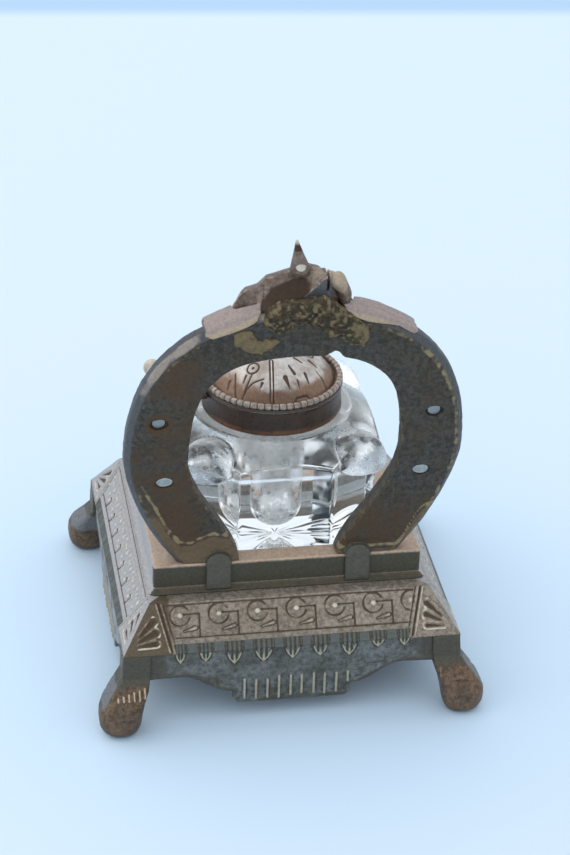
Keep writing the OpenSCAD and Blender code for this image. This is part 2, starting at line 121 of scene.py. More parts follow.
def egg(x, y, z, c, r):
    """Roughly the distance to an ellipsoid."""
    q = np.sqrt(((x - c[0]) / r[0]) ** 2 + ((y - c[1]) / r[1]) ** 2 + ((z - c[2]) / r[2]) ** 2)
    return (q - 1) * min(r)


def plank(x, y, half_x, half_y, round_off=0.0):
    """Distance to a rectangle with rounded corners."""
    dx, dy = np.abs(x) - half_x + round_off, np.abs(y) - half_y + round_off
    return (np.hypot(np.maximum(dx, 0), np.maximum(dy, 0))
            + np.minimum(np.maximum(dx, dy), 0) - round_off)


class Template:
    """Signed distance to a closed outline, kept on a fine grid so that it can be read anywhere."""

    def __init__(self, points, margin=7.0, step=0.15):
        p = np.array(points, float)
        self.low, self.step = p.min(0) - margin, step
        nx, ny = np.ceil((p.max(0) + margin - self.low) / step).astype(int) + 1
        x = (self.low[0] + step * np.arange(nx))[:, None]
        y = (self.low[1] + step * np.arange(ny))[None, :]
        near, inside = np.full((nx, ny), 1e9), np.zeros((nx, ny), bool)
        for (ax, ay), (bx, by) in zip(p, np.roll(p, -1, 0)):
            ex, ey = bx - ax, by - ay
            t = np.clip(((x - ax) * ex + (y - ay) * ey) / (ex * ex + ey * ey + 1e-12), 0, 1)
            near = np.minimum(near, (x - ax - ex * t) ** 2 + (y - ay - ey * t) ** 2)
            if ay != by:
                inside ^= ((ay > y) != (by > y)) & (x < ex * (y - ay) / ey + ax)
        self.field = np.where(inside, -1, 1) * np.sqrt(near)

    def __call__(self, x, y):
        qx = np.clip((x - self.low[0]) / self.step, 0, self.field.shape[0] - 1.001)
        qy = np.clip((y - self.low[1]) / self.step, 0, self.field.shape[1] - 1.001)
        i, j = qx.astype(int), qy.astype(int)
        u, v = qx - i, qy - j
        f = self.field
        return ((f[i, j] * (1 - u) + f[i + 1, j] * u) * (1 - v)
                + (f[i, j + 1] * (1 - u) + f[i + 1, j + 1] * u) * v)


def bend(p, steps=24):
    """Points along a curve with four control points."""
    t = np.linspace(0, 1, steps + 1)[:, None]
    p = np.array(p, float)
    return (1 - t) ** 3 * p[0] + 3 * t * (1 - t) ** 2 * p[1] + 3 * t * t * (1 - t) * p[2] + t ** 3 * p[3]


# ---------------------------------------------------------------- meshes
def carve(field, low, high, fine):
    step = fine
    low, high = np.array(low, float), np.array(high, float)
    n = np.ceil((high - low) / step).astype(int) + 1
    x, y, z = [low[k] + step * np.arange(n[k]) for k in range(3)]
    values = np.empty(tuple(n), np.float32)
    for a in range(0, n[0], 40):
        values[a:a + 40] = field(x[a:a + 40, None, None], y[None, :, None], z[None, None, :])
    block = openvdb.FloatGrid()
    block.copyFromArray(values)
    points, triangles, quads = block.convertToPolygons(0.0, 0.0)
    p = low + points.astype(float) * step
    for _ in range(3):
        d = field(p[:, 0], p[:, 1], p[:, 2])
        slope = np.stack([field(*(p + 0.04 * np.eye(3)[k]).T) - d for k in range(3)], 1) / 0.04
        move = -slope * (d / np.maximum((slope ** 2).sum(1), 0.2))[:, None]
        p += np.clip(move, -0.6 * step, 0.6 * step)
    return p, [f.astype(int) for f in (quads, triangles) if len(f)]


def lathe(profile, columns):
    """Turns a profile of (radius, z) about the upright axis."""
    theta = np.linspace(0, 2 * math.pi, columns, endpoint=False)
    return np.array([np.stack([r * np.cos(theta), r * np.sin(theta), np.full(columns, z)], 1)
                     for r, z in profile])


def sew(rows, tube=False):
    """Quads over a grid of points whose rows are closed rings. With tube, the last row meets the first;
    otherwise each end is closed on its middle."""
    count, columns = rows.shape[:2]
    last = count if tube else count - 1
    i, j = np.meshgrid(np.arange(last), np.arange(columns), indexing="ij")
    k, n = (j + 1) % columns, (i + 1) % count
    quads = np.stack([i * columns + j, i * columns + k, n * columns + k, n * columns + j], -1).reshape(-1, 4)
    p = rows.reshape(-1, 3)
    if tube:
        return p, [quads]
    p = np.vstack([p, rows[0].mean(0), rows[-1].mean(0)])
    c = np.arange(columns)
    m = (c + 1) % columns
    low = np.stack([np.full(columns, len(p) - 2), m, c], 1)
    top = (count - 1) * columns
    high = np.stack([np.full(columns, len(p) - 1), top + c, top + m], 1)
    return p, [quads, low, high]


def joined(*parts):
    """One shape out of several."""
    p, faces, start = [], [], 0
    for q, fs in parts:
        faces += [f + start for f in fs]
        p.append(q)
        start += len(q)
    return np.vstack(p), faces


def roundness(p, faces, rounds, scale):
    """How far each point bulges out of its neighbours: 1 on a worn edge, -1 in a hollow."""
    normal, size = np.zeros_like(p), len(p)
    a, b = [], []
    for f in faces:
        corners = [p[f[:, k]] for k in range(f.shape[1])]
        if len(corners) == 4:
            across = np.cross(corners[2] - corners[0], corners[3] - corners[1])
        else:
            across = np.cross(corners[1] - corners[0], corners[2] - corners[0])
        for k in range(f.shape[1]):
            for axis in range(3):
                normal[:, axis] += np.bincount(f[:, k], across[:, axis], size)
            a.append(f[:, k])
            b.append(f[:, (k + 1) % f.shape[1]])
    a, b = np.concatenate(a + b), np.concatenate(b + a)
    normal /= np.linalg.norm(normal, axis=1, keepdims=True) + 1e-12
    count = np.bincount(a, minlength=size) + 1e-9

    def around(v):
        return np.bincount(a, v[b], size) / count

    middle = np.stack([around(p[:, k]) for k in range(3)], 1)
    length = np.bincount(a, np.linalg.norm(p[a] - p[b], axis=1), size) / count
    bulge = -((middle - p) * normal).sum(1) * 4 / np.maximum(length, 0.05) ** 2
    for _ in range(rounds):
        bulge = 0.4 * bulge + 0.6 * around(bulge)
    return np.clip(bulge * scale, -1, 1)


def new_object(name, data):
    made = bpy.data.objects.new(name, data)
    bpy.context.scene.collection.objects.link(made)
    return made


def piece(name, shape, body, slot, stands_for, material, rounds=4, scale=1.0, keep=1.0, rub=0.0, **marks):
    """Makes the object. It is worn by keep times its roundness, plus rub. Each mark is one number for each
    point, or one for all of them, which the material reads; one that isn't given is 0."""
    p, faces = shape
    wear = np.clip(keep * roundness(p, faces, rounds, scale) + rub, -1, 1)
    mesh = bpy.data.meshes.new(name)
    loops = np.concatenate([f.ravel() for f in faces])
    sizes = np.concatenate([np.full(len(f), f.shape[1]) for f in faces])
    mesh.vertices.add(len(p))
    mesh.vertices.foreach_set("co", (p * MM).astype(np.float32).ravel())
    mesh.loops.add(len(loops))
    mesh.loops.foreach_set("vertex_index", loops.astype(np.int32))
    mesh.polygons.add(len(sizes))
    mesh.polygons.foreach_set("loop_start", (np.cumsum(sizes) - sizes).astype(np.int32))
    mesh.polygons.foreach_set("use_smooth", np.ones(len(sizes), bool))
    mesh.update(calc_edges=True)
    for key, values in {"wear": wear, **marks}.items():
        layer = mesh.attributes.new(key, "FLOAT", "POINT")
        layer.data.foreach_set("value", np.broadcast_to(values, len(p)).astype(np.float32))
    mesh.materials.append(material)
    made = new_object(name, mesh)
    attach(made, body)
    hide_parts(*stands_for)


# ---------------------------------------------------------------- materials
def feed(tree, node, at):
    """Sets a node's inputs; at lists (input, value or socket) pairs."""
    for socket, value in at:
        target = node.inputs[socket]
        if isinstance(value, bpy.types.NodeSocket):
            tree.links.new(value, target)
        elif target.type == "RGBA" and len(value) == 3:
            target.default_value = (*value, 1.0)
        else:
            target.default_value = value


def add(tree, kind, at=(), **settings):
    """Adds a node. Settings name its properties, and at is as in feed."""
    node = tree.nodes.new(kind)
    for key, value in settings.items():
        setattr(node, key, value)
    feed(tree, node, at)
    return node


def maths(tree, operation, *values):
    return add(tree, "ShaderNodeMath", enumerate(values), operation=operation).outputs[0]


def mixed(tree, share, a, b, blend_type="MIX"):
    """Colour a, with a share of colour b over it."""
    return add(tree, "ShaderNodeMix", [(0, share), (6, a), (7, b)], data_type="RGBA",
               blend_type=blend_type).outputs[2]


def grey(tree, value):
    return add(tree, "ShaderNodeCombineColor", [(k, value) for k in range(3)]).outputs[0]


def position(tree):
    """The place on the object, in metres."""
    return add(tree, "ShaderNodeTexCoord").outputs["Object"]


def between(tree, value, low, high, out_low=0.0, out_high=1.0):
    """Runs smoothly from out_low to out_high as the value goes from low to high."""
    return add(tree, "ShaderNodeMapRange", [("Value", value), ("From Min", low), ("From Max", high),
               ("To Min", out_low), ("To Max", out_high)], interpolation_type="SMOOTHSTEP").outputs[0]


def new_group(name, inputs, outputs):
    """A node group: itself, what it is given and where its results go."""
    group = bpy.data.node_groups.new(name, "ShaderNodeTree")
    for label, kind, value in inputs:
        socket = group.interface.new_socket(label, in_out="INPUT", socket_type="NodeSocket" + kind)
        socket.default_value = (*value, 1.0) if kind == "Color" else value
    for label, kind in outputs:
        group.interface.new_socket(label, in_out="OUTPUT", socket_type="NodeSocket" + kind)
    return group, group.nodes.new("NodeGroupInput").outputs, group.nodes.new("NodeGroupOutput")


def noise(tree, place, scale, detail=4.0, roughness=0.6):
    return add(tree, "ShaderNodeTexNoise", [("Vector", place), ("Scale", scale), ("Detail", detail),
               ("Roughness", roughness)]).outputs["Fac"]


def make_aged_metal():
    """Old cast metal: dark dirt in the hollows, rubbed high places, clouds of a second tone and grain."""
    group, given, out = new_group("aged_metal", [
        ("Hollow", "Color", (0.05, 0.04, 0.03)), ("Body", "Color", (0.3, 0.3, 0.3)),
        ("Worn", "Color", (0.6, 0.55, 0.5)), ("Cloud", "Color", (0.2, 0.2, 0.2)),
        ("Wear", "Float", 0.0), ("Cloud Size", "Float", 8.0), ("Cloud Share", "Float", 0.5),
        ("Worn From", "Float", 0.25), ("Hollow From", "Float", 0.12), ("Grain", "Float", 0.3),
        ("Smooth", "Float", 0.35), ("Rough", "Float", 0.6)],
        [("Color", "Color"), ("Roughness", "Float"), ("Height", "Float")])
    place = position(group)
    cloud = noise(group, place, maths(group, "DIVIDE", 1000.0, given["Cloud Size"]), 5.0, 0.62)
    grain = noise(group, place, 850.0, 4.0, 0.65)
    speck = noise(group, place, 2900.0, 2.0, 0.5)
    tone = maths(group, "MULTIPLY", between(group, cloud, 0.38, 0.62), given["Cloud Share"])
    colour = mixed(group, tone, given["Body"], given["Cloud"])
    dapple = between(group, maths(group, "MULTIPLY_ADD", speck, 0.4, grain), 0.5, 0.9, -0.5, 0.5)
    shade = maths(group, "MULTIPLY_ADD", dapple, given["Grain"], 1.0)
    colour = mixed(group, 1.0, colour, grey(group, shade), "MULTIPLY")
    lift = maths(group, "MULTIPLY_ADD", maths(group, "SUBTRACT", grain, 0.5), 0.9,
                 maths(group, "MULTIPLY_ADD", maths(group, "SUBTRACT", cloud, 0.5), 0.8, given["Wear"]))
    worn = between(group, lift, given["Worn From"], maths(group, "ADD", given["Worn From"], 0.55))
    hollow = between(group, maths(group, "MULTIPLY", lift, -1.0), given["Hollow From"],
                     maths(group, "ADD", given["Hollow From"], 0.5))
    colour = mixed(group, hollow, colour, given["Hollow"])
    colour = mixed(group, worn, colour, given["Worn"])
    rough = add(group, "ShaderNodeMapRange", [("Value", grain), ("From Min", 0.35), ("From Max", 0.65),
                ("To Min", given["Smooth"]), ("To Max", given["Rough"])]).outputs[0]
    feed(group, out, [("Color", colour), ("Roughness", rough),
                      ("Height", maths(group, "MULTIPLY_ADD", speck, 0.35, grain))])
    return group


def make_ragged_patch():
    """Lays a tint over a colour where a mark is strong, with an edge broken up by grain."""
    group, given, out = new_group("ragged_patch", [
        ("Color", "Color", (0.5, 0.5, 0.5)), ("Tint", "Color", (0.5, 0.4, 0.3)),
        ("Mark", "Float", 0.0), ("Break", "Float", 0.8), ("Size", "Float", 3.0)], [("Color", "Color")])
    place = position(group)
    ragged = noise(group, place, maths(group, "DIVIDE", 1000.0, given["Size"]), 5.0, 0.65)
    value = maths(group, "MULTIPLY_ADD", maths(group, "SUBTRACT", ragged, 0.5), given["Break"], given["Mark"])
    fine = maths(group, "MULTIPLY_ADD", noise(group, place, 1300.0, 4.0, 0.7), 1.1, 0.45)
    tint = mixed(group, 1.0, given["Tint"], grey(group, fine), "MULTIPLY")
    feed(group, out, [("Color", mixed(group, between(group, value, 0.3, 0.7), given["Color"], tint))])
    return group


AGED_METAL = make_aged_metal()
RAGGED_PATCH = make_ragged_patch()


def mark(tree, name):
    """What a piece was given under this name."""
    return add(tree, "ShaderNodeAttribute", attribute_name=name).outputs["Fac"]


def new_material(name):
    material = bpy.data.materials.new(name)
    material.use_nodes = True
    return material, material.node_tree, material.node_tree.nodes["Principled BSDF"]


def bumped(tree, height, distance):
    """A normal with bumps up to distance mm high."""
    return add(tree, "ShaderNodeBump", [("Height", height), ("Distance", distance * MM),
               ("Strength", 1.0)]).outputs[0]


def old_metal(name, metallic, bump, patches=(), wear=True, rear_end=None, **values):
    """A material of aged metal. values are the group's inputs; patches are (mark, tint, break, size);
    rear_end is a tint and the place along y beyond which the piece has it."""
    material, tree, shader = new_material(name)
    at = [(key.replace("_", " "), value) for key, value in values.items()]
    if wear:
        at.append(("Wear", mark(tree, "wear")))
    aged = add(tree, "ShaderNodeGroup", at, node_tree=AGED_METAL)
    colour = aged.outputs["Color"]
    for label, tint, ragged, size in patches:
        colour = add(tree, "ShaderNodeGroup", [
            ("Color", colour), ("Tint", tint), ("Mark", mark(tree, label)), ("Break", ragged), ("Size", size)],
            node_tree=RAGGED_PATCH).outputs["Color"]
    if rear_end:
        tint, rear_y = rear_end
        y = add(tree, "ShaderNodeSeparateXYZ", [(0, position(tree))]).outputs[1]
        colour = mixed(tree, between(tree, y, rear_y * MM, (rear_y + 0.4) * MM), colour, tint)
    feed(tree, shader, [
        ("Base Color", colour), ("Roughness", aged.outputs["Roughness"]), ("Metallic", metallic),
        ("Specular IOR Level", 0.3), ("Normal", bumped(tree, aged.outputs["Height"], bump))])
    return material


def clear_glass():
    """Glass with faint smears and soft ripples, frosted by its mark, that lets light into its shadow."""
    material, tree, shader = new_material("cut_glass")
    place = position(tree)
    smears = between(tree, noise(tree, place, 160.0, 4.0), 0.52, 0.75)
    clouds = between(tree, noise(tree, place, 420.0, 3.0), 0.35, 0.6, 0.1, 0.42)
    frost = maths(tree, "MULTIPLY", mark(tree, "frost"), clouds)
    rough = maths(tree, "MULTIPLY_ADD", smears, 0.06, maths(tree, "ADD", frost, 0.04))
    feed(tree, shader, [
        ("Base Color", (1.0, 1.0, 1.0)), ("Roughness", rough), ("Transmission Weight", 1.0), ("IOR", 1.5),
        ("Normal", bumped(tree, noise(tree, place, 60.0, 2.0), 0.12))])
    passes = add(tree, "ShaderNodeBsdfTransparent", [("Color", (0.97, 0.98, 0.99))])
    shadow = add(tree, "ShaderNodeLightPath").outputs["Is Shadow Ray"]
    both = add(tree, "ShaderNodeMixShader", [(0, shadow), (1, shader.outputs[0]), (2, passes.outputs[0])])
    tree.links.new(both.outputs[0], tree.nodes["Material Output"].inputs["Surface"])
    return material


# Each finish: its name, how metallic it is, its bumps in mm and its patches
FINISHES = {
    "bronzed": old_metal(
        "bronzed_casting", 0.3, 0.15, [
            ("apron_grey", (0.115, 0.113, 0.1), 0.6, 4.0),
            ("leaf_dark", (0.065, 0.056, 0.038), 0.5, 1.5),
            ("gilt", (0.4, 0.33, 0.2), 0.7, 1.6),
            ("brown", (0.13, 0.09, 0.055), 0.7, 5.0),
            # A painted sheen of light on the sides that face across x, with the gallery's rear streaks in the
            # same tint
            ("silvered", (0.4, 0.365, 0.35), 0.5, 6.0),
            # A painted shade on the gallery's rear wall
            ("dark_wall", (0.07, 0.06, 0.04), 0.5, 4.0),
            ("rubbed", (0.49, 0.335, 0.235), 0.8, 3.0),
            ("well", (0.66, 0.66, 0.64), 0.3, 4.0),
            ("cut_line", (0.085, 0.052, 0.03), 0.35, 1.5),
            ("raised", (0.66, 0.55, 0.42), 0.5, 1.5)],
        Hollow=(0.11, 0.072, 0.042), Body=(0.28, 0.222, 0.168), Worn=(0.47, 0.38, 0.29),
        Cloud=(0.205, 0.155, 0.11), Cloud_Size=9.0, Cloud_Share=0.6, Grain=0.75,
        Worn_From=0.35, Hollow_From=0.15),
    "grey": old_metal(
        "grey_casting", 0.3, 0.18, [
            # A painted sheen of light on the side aprons
            ("silvered", (0.3, 0.3, 0.31), 0.6, 5.0),
            ("dusky", (0.085, 0.075, 0.058), 0.9, 4.0),
            ("leaf_dark", (0.065, 0.056, 0.038), 0.5, 1.5),
            ("gilt", (0.42, 0.36, 0.25), 0.7, 1.6)],
        Hollow=(0.05, 0.046, 0.036), Body=(0.15, 0.15, 0.14), Worn=(0.24, 0.22, 0.18),
        Cloud=(0.085, 0.078, 0.06), Cloud_Size=9.0, Cloud_Share=0.85, Grain=0.75, Worn_From=0.5),
    "foot": old_metal(
        "brown_casting", 0.3, 0.18, [
            # A painted sheen of light on the feet's x-facing sides
            ("silvered", (0.16, 0.155, 0.155), 0.7, 4.0),
            ("grey_top", (0.085, 0.075, 0.055), 0.6, 3.0),
            ("flute", (0.5, 0.37, 0.24), 0.6, 1.2),
            ("grey_sole", (0.12, 0.12, 0.11), 0.6, 3.0)],
        Hollow=(0.045, 0.027, 0.016), Body=(0.16, 0.095, 0.057), Worn=(0.26, 0.175, 0.115),
        Cloud=(0.095, 0.066, 0.045), Cloud_Size=5.0, Cloud_Share=0.85, Grain=0.85, Worn_From=0.45),
    "shoe": old_metal(
        "dark_iron", 0.22, 0.24, [
            ("lug_face", (0.092, 0.082, 0.062), 0.8, 3.0),
            ("bevel_side", (0.078, 0.077, 0.08), 0.5, 5.0),
            ("rust", (0.075, 0.043, 0.022), 0.9, 6.0),
            ("crust", (0.25, 0.19, 0.1), 1.0, 1.8),
            ("heel", (0.14, 0.092, 0.05), 1.0, 2.5),
            # A painted highlight along the shoe's outer edge
            ("pale_edge", (0.3, 0.24, 0.2), 0.8, 3.0)],
        Hollow=(0.022, 0.016, 0.01), Body=(0.055, 0.049, 0.041), Worn=(0.12, 0.1, 0.075),
        Cloud=(0.056, 0.043, 0.028), Cloud_Size=14.0, Cloud_Share=0.8, Grain=1.0, Worn_From=0.45),
    "crest": old_metal(
        "crest_bronze", 0.3, 0.15, [
            ("mauve", (0.33, 0.25, 0.22), 0.9, 4.0),
            # Painted shade in the scoop behind the head
            ("hollow_side", (0.05, 0.028, 0.016), 0.7, 3.0),
            ("blue_back", (0.13, 0.135, 0.14), 0.6, 3.0),
            ("tan", (0.4, 0.3, 0.21), 0.9, 2.0),
            ("band", (0.07, 0.028, 0.018), 0.3, 1.0),
            ("pale", (0.6, 0.52, 0.42), 0.5, 1.5)],
        Hollow=(0.07, 0.042, 0.026), Body=(0.2, 0.143, 0.113), Worn=(0.38, 0.3, 0.23),
        Cloud=(0.13, 0.085, 0.062), Cloud_Size=6.0, Cloud_Share=0.75, Grain=0.7, Worn_From=0.3),
    "solder": old_metal(
        "old_solder", 0.15, 0.3, [
            ("green", (0.08, 0.075, 0.035), 1.4, 1.6),
            ("golden", (0.17, 0.122, 0.06), 1.5, 1.2)],
        Hollow=(0.012, 0.007, 0.003), Body=(0.055, 0.033, 0.013), Worn=(0.22, 0.15, 0.065),
        Cloud=(0.025, 0.018, 0.01), Cloud_Size=2.4, Cloud_Share=0.9, Grain=1.0, Worn_From=0.2,
        Hollow_From=0.05),
    "collar": old_metal(
        "collar_brass", 0.55, 0.05, [("copper_low", (0.16, 0.075, 0.04), 1.1, 5.0)],
        Hollow=(0.015, 0.01, 0.008), Body=(0.05, 0.034, 0.028), Worn=(0.16, 0.12, 0.1),
        Cloud=(0.075, 0.043, 0.028), Cloud_Size=7.0, Cloud_Share=0.6, Grain=0.3, Worn_From=0.6,
        Smooth=0.26, Rough=0.45),
    "lid": old_metal(
        "lid_copper", 0.6, 0.06, [
            ("copper_low", (0.25, 0.15, 0.1), 1.3, 4.0),
            # Cut lines, and a painted shade on the rim under the beads
            ("cut_line", (0.1, 0.07, 0.055), 0.3, 1.5)],
        Hollow=(0.1, 0.065, 0.045), Body=(0.62, 0.55, 0.5), Worn=(0.8, 0.73, 0.66),
        Cloud=(0.36, 0.28, 0.235), Cloud_Size=7.0, Cloud_Share=0.85, Grain=0.3, Worn_From=0.5,
        Smooth=0.3, Rough=0.5),
    "beads": old_metal(
        "bead_silver", 0.5, 0.04, [("gap", (0.1, 0.07, 0.05), 0.3, 1.0)],
        Hollow=(0.14, 0.1, 0.07), Body=(0.36, 0.28, 0.23), Worn=(0.72, 0.64, 0.56),
        Cloud=(0.27, 0.2, 0.16), Cloud_Size=5.0, Cloud_Share=0.6, Grain=0.4, Worn_From=0.5,
        Smooth=0.25, Rough=0.42),
    "hook": old_metal(
        "worn_gilt", 0.45, 0.05, wear=False, rear_end=((0.27, 0.3, 0.31), 35.6),
        Hollow=(0.2, 0.15, 0.1), Body=(0.62, 0.53, 0.43), Worn=(0.8, 0.75, 0.65),
        Cloud=(0.4, 0.31, 0.22), Cloud_Size=4.0, Cloud_Share=0.7, Grain=0.3, Smooth=0.25, Rough=0.5),
    "nail": old_metal(
        "filed_nails", 0.3, 0.05, Hollow=(0.1, 0.11, 0.1), Body=(0.33, 0.37, 0.38),
        Worn=(0.45, 0.45, 0.43), Cloud=(0.24, 0.27, 0.27), Cloud_Size=3.0, Cloud_Share=0.6, Grain=0.4),
    "screw": old_metal(
        "dull_screws", 0.5, 0.05, wear=False, Hollow=(0.1, 0.09, 0.08), Body=(0.3, 0.27, 0.24),
        Worn=(0.45, 0.43, 0.4), Cloud=(0.2, 0.16, 0.12), Cloud_Size=3.0, Cloud_Share=0.6, Grain=0.4),
    "cement": old_metal(
        "dry_cement", 0.0, 0.15, wear=False, Hollow=(0.45, 0.41, 0.34), Body=(0.66, 0.62, 0.54),
        Worn=(0.74, 0.7, 0.63), Cloud=(0.52, 0.47, 0.38), Cloud_Size=3.0, Cloud_Share=0.7,
        Grain=0.4, Smooth=0.8, Rough=0.95),
    "glass": clear_glass(),
}


# ---------------------------------------------------------------- the stand's frieze
def groove(distance, half):
    """1 in the middle of a cut line, 0 half a millimetre beyond its edge."""
    return 1 - ease(np.abs(distance), half * 0.35, half * 1.5)


def panel_edge(b):
    """How far from the middle of a side its corner panel begins."""
    return 31.2 + 0.233 * b


# Each petal: its root, its tip and its thickness at both
PETALS = (((40.2, 5.3), (36.4, 8.9), 0.35, 0.95), ((40.4, 3.9), (36.0, 5.9), 0.35, 0.95),
          ((40.6, 2.6), (36.2, 3.0), 0.3, 0.75))


def corner_panel(a, b):
    """Three petals in their frame beside a mitre: (rise, cut), from the distance a to the side's middle."""
    past = a - panel_edge(b)
    rise = 0.7 * groove(past, 0.35) + 0.8 * groove(past - 1.3, 0.35)
    cut = 0.9 * groove(past - 0.65, 0.28) + 0.8 * groove(past + 0.65, 0.22)
    beyond = ease(past, 1.4, 1.9)
    petals = np.minimum.reduce([rod(a, b, (root, tip), r0, r1) for root, tip, r0, r1 in PETALS])
    border = np.minimum(rod(a, b, ((36.8, 11.0), (34.4, 2.4)), 0.1),
                        rod(a, b, ((34.4, 2.4), (41.9, 1.6)), 0.05))
    rise = rise + beyond * (0.65 * groove(petals - 0.3, 0.26) + 0.45 * groove(border, 0.36))
    return rise, cut + beyond * ease(-petals, 0.0, 0.4) * 0.75


def key_band(a, b):
    """Seven rings with a dot in each, a key line from ring to border and a leaf: (rise, cut)."""
    cut, rise = 0, 0
    for k in range(-3, 4):
        u, v = 10.3 * k + 1.4 - a, b - 10.0
        worn = 0.85 + 0.15 * np.cos(3.7 * k + 2.2 * np.arctan2(v, u))
        ring_gap = 1 - ease(-u, 1.2, 2.0) * (1 - ease(np.abs(v - 0.35), 0.5, 1.0))
        cut = cut + groove(np.hypot(u, v) - 2.65, 0.36) * ring_gap * worn * 0.85
        cut = cut + groove(np.hypot(u, v) - 1.25, 0.15) * 0.3
        rise = rise + 1 - ease(np.hypot(u * 0.95, v), 0.45, 0.95)
        if k < 3:
            cut = cut + groove(rod(u, v, ((-0.9, 0.3), (-5.1, 0.3)), 0.0), 0.28) * 0.8
            cut = cut + groove(rod(u, v, ((-5.1, 0.3), (-5.1, -5.9)), 0.0), 0.3) * 0.85
            leaf = rod(u, v, ((-0.9, -4.2), (-4.0, -3.4)), 0.05, 0.42)
            cut = cut + groove(leaf - 0.22, 0.18) * 0.8
            rise = rise + (1 - ease(leaf, -0.2, 0.1)) * 0.7
    return rise, cut


def lozenge_band(a, b):
    """Raised lozenges and dots between slanting strokes: (rise, cut)."""
    period = 8.2
    u = (a + period / 2) % period - period / 2
    rise = 1 - ease(np.abs(u + 1.0) * 0.75 + np.abs(b - 9.6) * 0.5, 0.35, 0.8)
    for du, v in ((1.7, 10.6), (1.7, 7.9), (-2.4, 7.1), (3.6, 9.8), (-0.4, 6.6), (-3.4, 9.6)):
        rise = rise + 1 - ease(np.hypot(u - du, b - v), 0.3, 0.75)
    strokes = 0.3 * groove(np.abs(u) - (b - 4.2) * 0.42, 0.2) * ease(b, 4.3, 4.8) * (1 - ease(b, 10.2, 11.0))
    leaf = rod(u, b, ((0.0, 4.9), (0.0, 6.4)), 0.15, 0.5)
    return rise + 0.7 * (1 - ease(leaf, -0.2, 0.2)), strokes + groove(leaf - 0.3, 0.2)


def frieze_relief(a, b, side):
    """Rise and cut of the frieze in one side's own plane: a along it, b up its slope."""
    far = np.abs(a)
    panel_rise, panel_cut = corner_panel(far, b)
    field = 1 - ease(far - panel_edge(b), -1.3, -0.7)
    rise, cut = (key_band if side % 2 else lozenge_band)(a, b)
    inside = ease(b, 4.0, 4.3) * (1 - ease(b, 12.5, 12.8))
    rise, cut = rise * field * inside, cut * field * inside
    cut = cut + (groove(b - 4.15, 0.26) + groove(b - 12.85, 0.26)) * field * 0.8
    rise = rise + (groove(b - 3.4, 0.4) * 0.4 + groove(b - 13.4, 0.3) * 0.5) * field
    if side % 2 == 0:
        cut = cut + groove(b - 11.6, 0.2) * field * 0.6
        rise = rise + groove(b - 12.2, 0.3) * field * 0.7
    edge = FRIEZE_HALF - b / SLOPE * (FRIEZE_HALF - PLATE_HALF) - far
    keep = ease(edge, 0.1, 0.7) * ease(b, 0.1, 0.5) * (1 - ease(b, SLOPE - 0.5, SLOPE - 0.1))
    return (np.clip(rise, 0, 1.2) + panel_rise * (1 - field)) * keep, \
        (np.clip(cut, 0, 1.0) + panel_cut * (1 - field)) * keep


def field_foot(a, b):
    """1 on the strip below the middle of the frieze, where the aprons' leaves begin."""
    return (1 - ease(b, 2.55, 2.8)) * (1 - ease(np.abs(a) - panel_edge(b), -0.4, 0.0))


def make_stand():
    """The frieze is turned row by row from the middle of its hollow, over the slope, to that of its plate."""
    rows, columns = ((52, 330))
    # Of each row, half its width and its height, and on the slope how far up the slope it is
    hollow = [(30.0, 31.5), (36.3, 31.5), (36.6, 31.3), (42.6, 22.5), (42.9, 22.2), (44.7, 22.2)]
    plate = [(37.33, 33.45), (37.1, 33.66), (36.8, 33.7), (34.0, 33.7), (30.0, 33.7)]
    slope = [(FRIEZE_HALF - (FRIEZE_HALF - PLATE_HALF) * t, FRIEZE_Z + (PLATE_Z - FRIEZE_Z) * t, SLOPE * t)
             for t in np.linspace(0, 1, rows)[:-1]]
    outward, upward = (PLATE_Z - FRIEZE_Z) / SLOPE, (FRIEZE_HALF - PLATE_HALF) / SLOPE
    grid, relief = [], []
    for half, z, *on_slope in hollow + slope + plate:
        a = np.linspace(-1, 1, columns, endpoint=False) * half
        ring = []
        for side, (c, s) in enumerate(((1, 0), (0, 1), (-1, 0), (0, -1))):
            rise = cut = low = a * 0
            if on_slope:
                b = np.full_like(a, on_slope[0])
                rise, cut = frieze_relief(a, b, side)
                low = field_foot(a, b)
            lift = 0.36 * (rise - cut) * (1 - low) - 0.1 * low
            out = half + lift * outward
            ring.append(np.stack([out * c - a * s, out * s + a * c, z + lift * upward], 1))
            relief.append(np.stack([rise, cut, low], 1))
        grid.append(np.vstack(ring))
    p, faces = sew(np.array(grid))
    rise, cut, low = np.vstack([*relief, np.zeros((2, 3))]).T
    sway = 0.06 * cast_grain(*p.T, 5.0, 3) + 0.05 * cast_grain(*p.T, 1.3, 4)
    p[:, 2] += np.where(p[:, 2] > 33.6, 0, sway)
    x, y, z = p.T
    along = np.where(np.abs(y) > np.abs(x), x * np.sign(y), -y * np.sign(x))
    _, gilt, dark, _ = apron_marks(along, z)
    x_side = ease(np.abs(x) - np.abs(y), -0.2, 0.2)
    corner = ease(np.minimum(np.abs(x), np.abs(y)), 30.5, 33.5) * (1 - x_side)
    # The x-facing sides get a painted sheen of light
    piece("frieze_casting", (p, faces), "stand", "bronzed_casting", ["stand_top"], FINISHES["bronzed"],
          rounds=2, scale=0.35, keep=0.4, rub=0.3 * (rise - cut),
          brown=0.95 * corner * (0.3 + 0.65 * (x > 0)),
          silvered=0.8 * x_side * ease(z, 22.3, 22.8) * (1 - low),
          cut_line=np.clip(0.95 * cut * (1 - low), 0, 1), raised=np.clip(0.65 * rise * (1 - low), 0, 1),
          apron_grey=low, gilt=gilt * low, leaf_dark=dark * low)


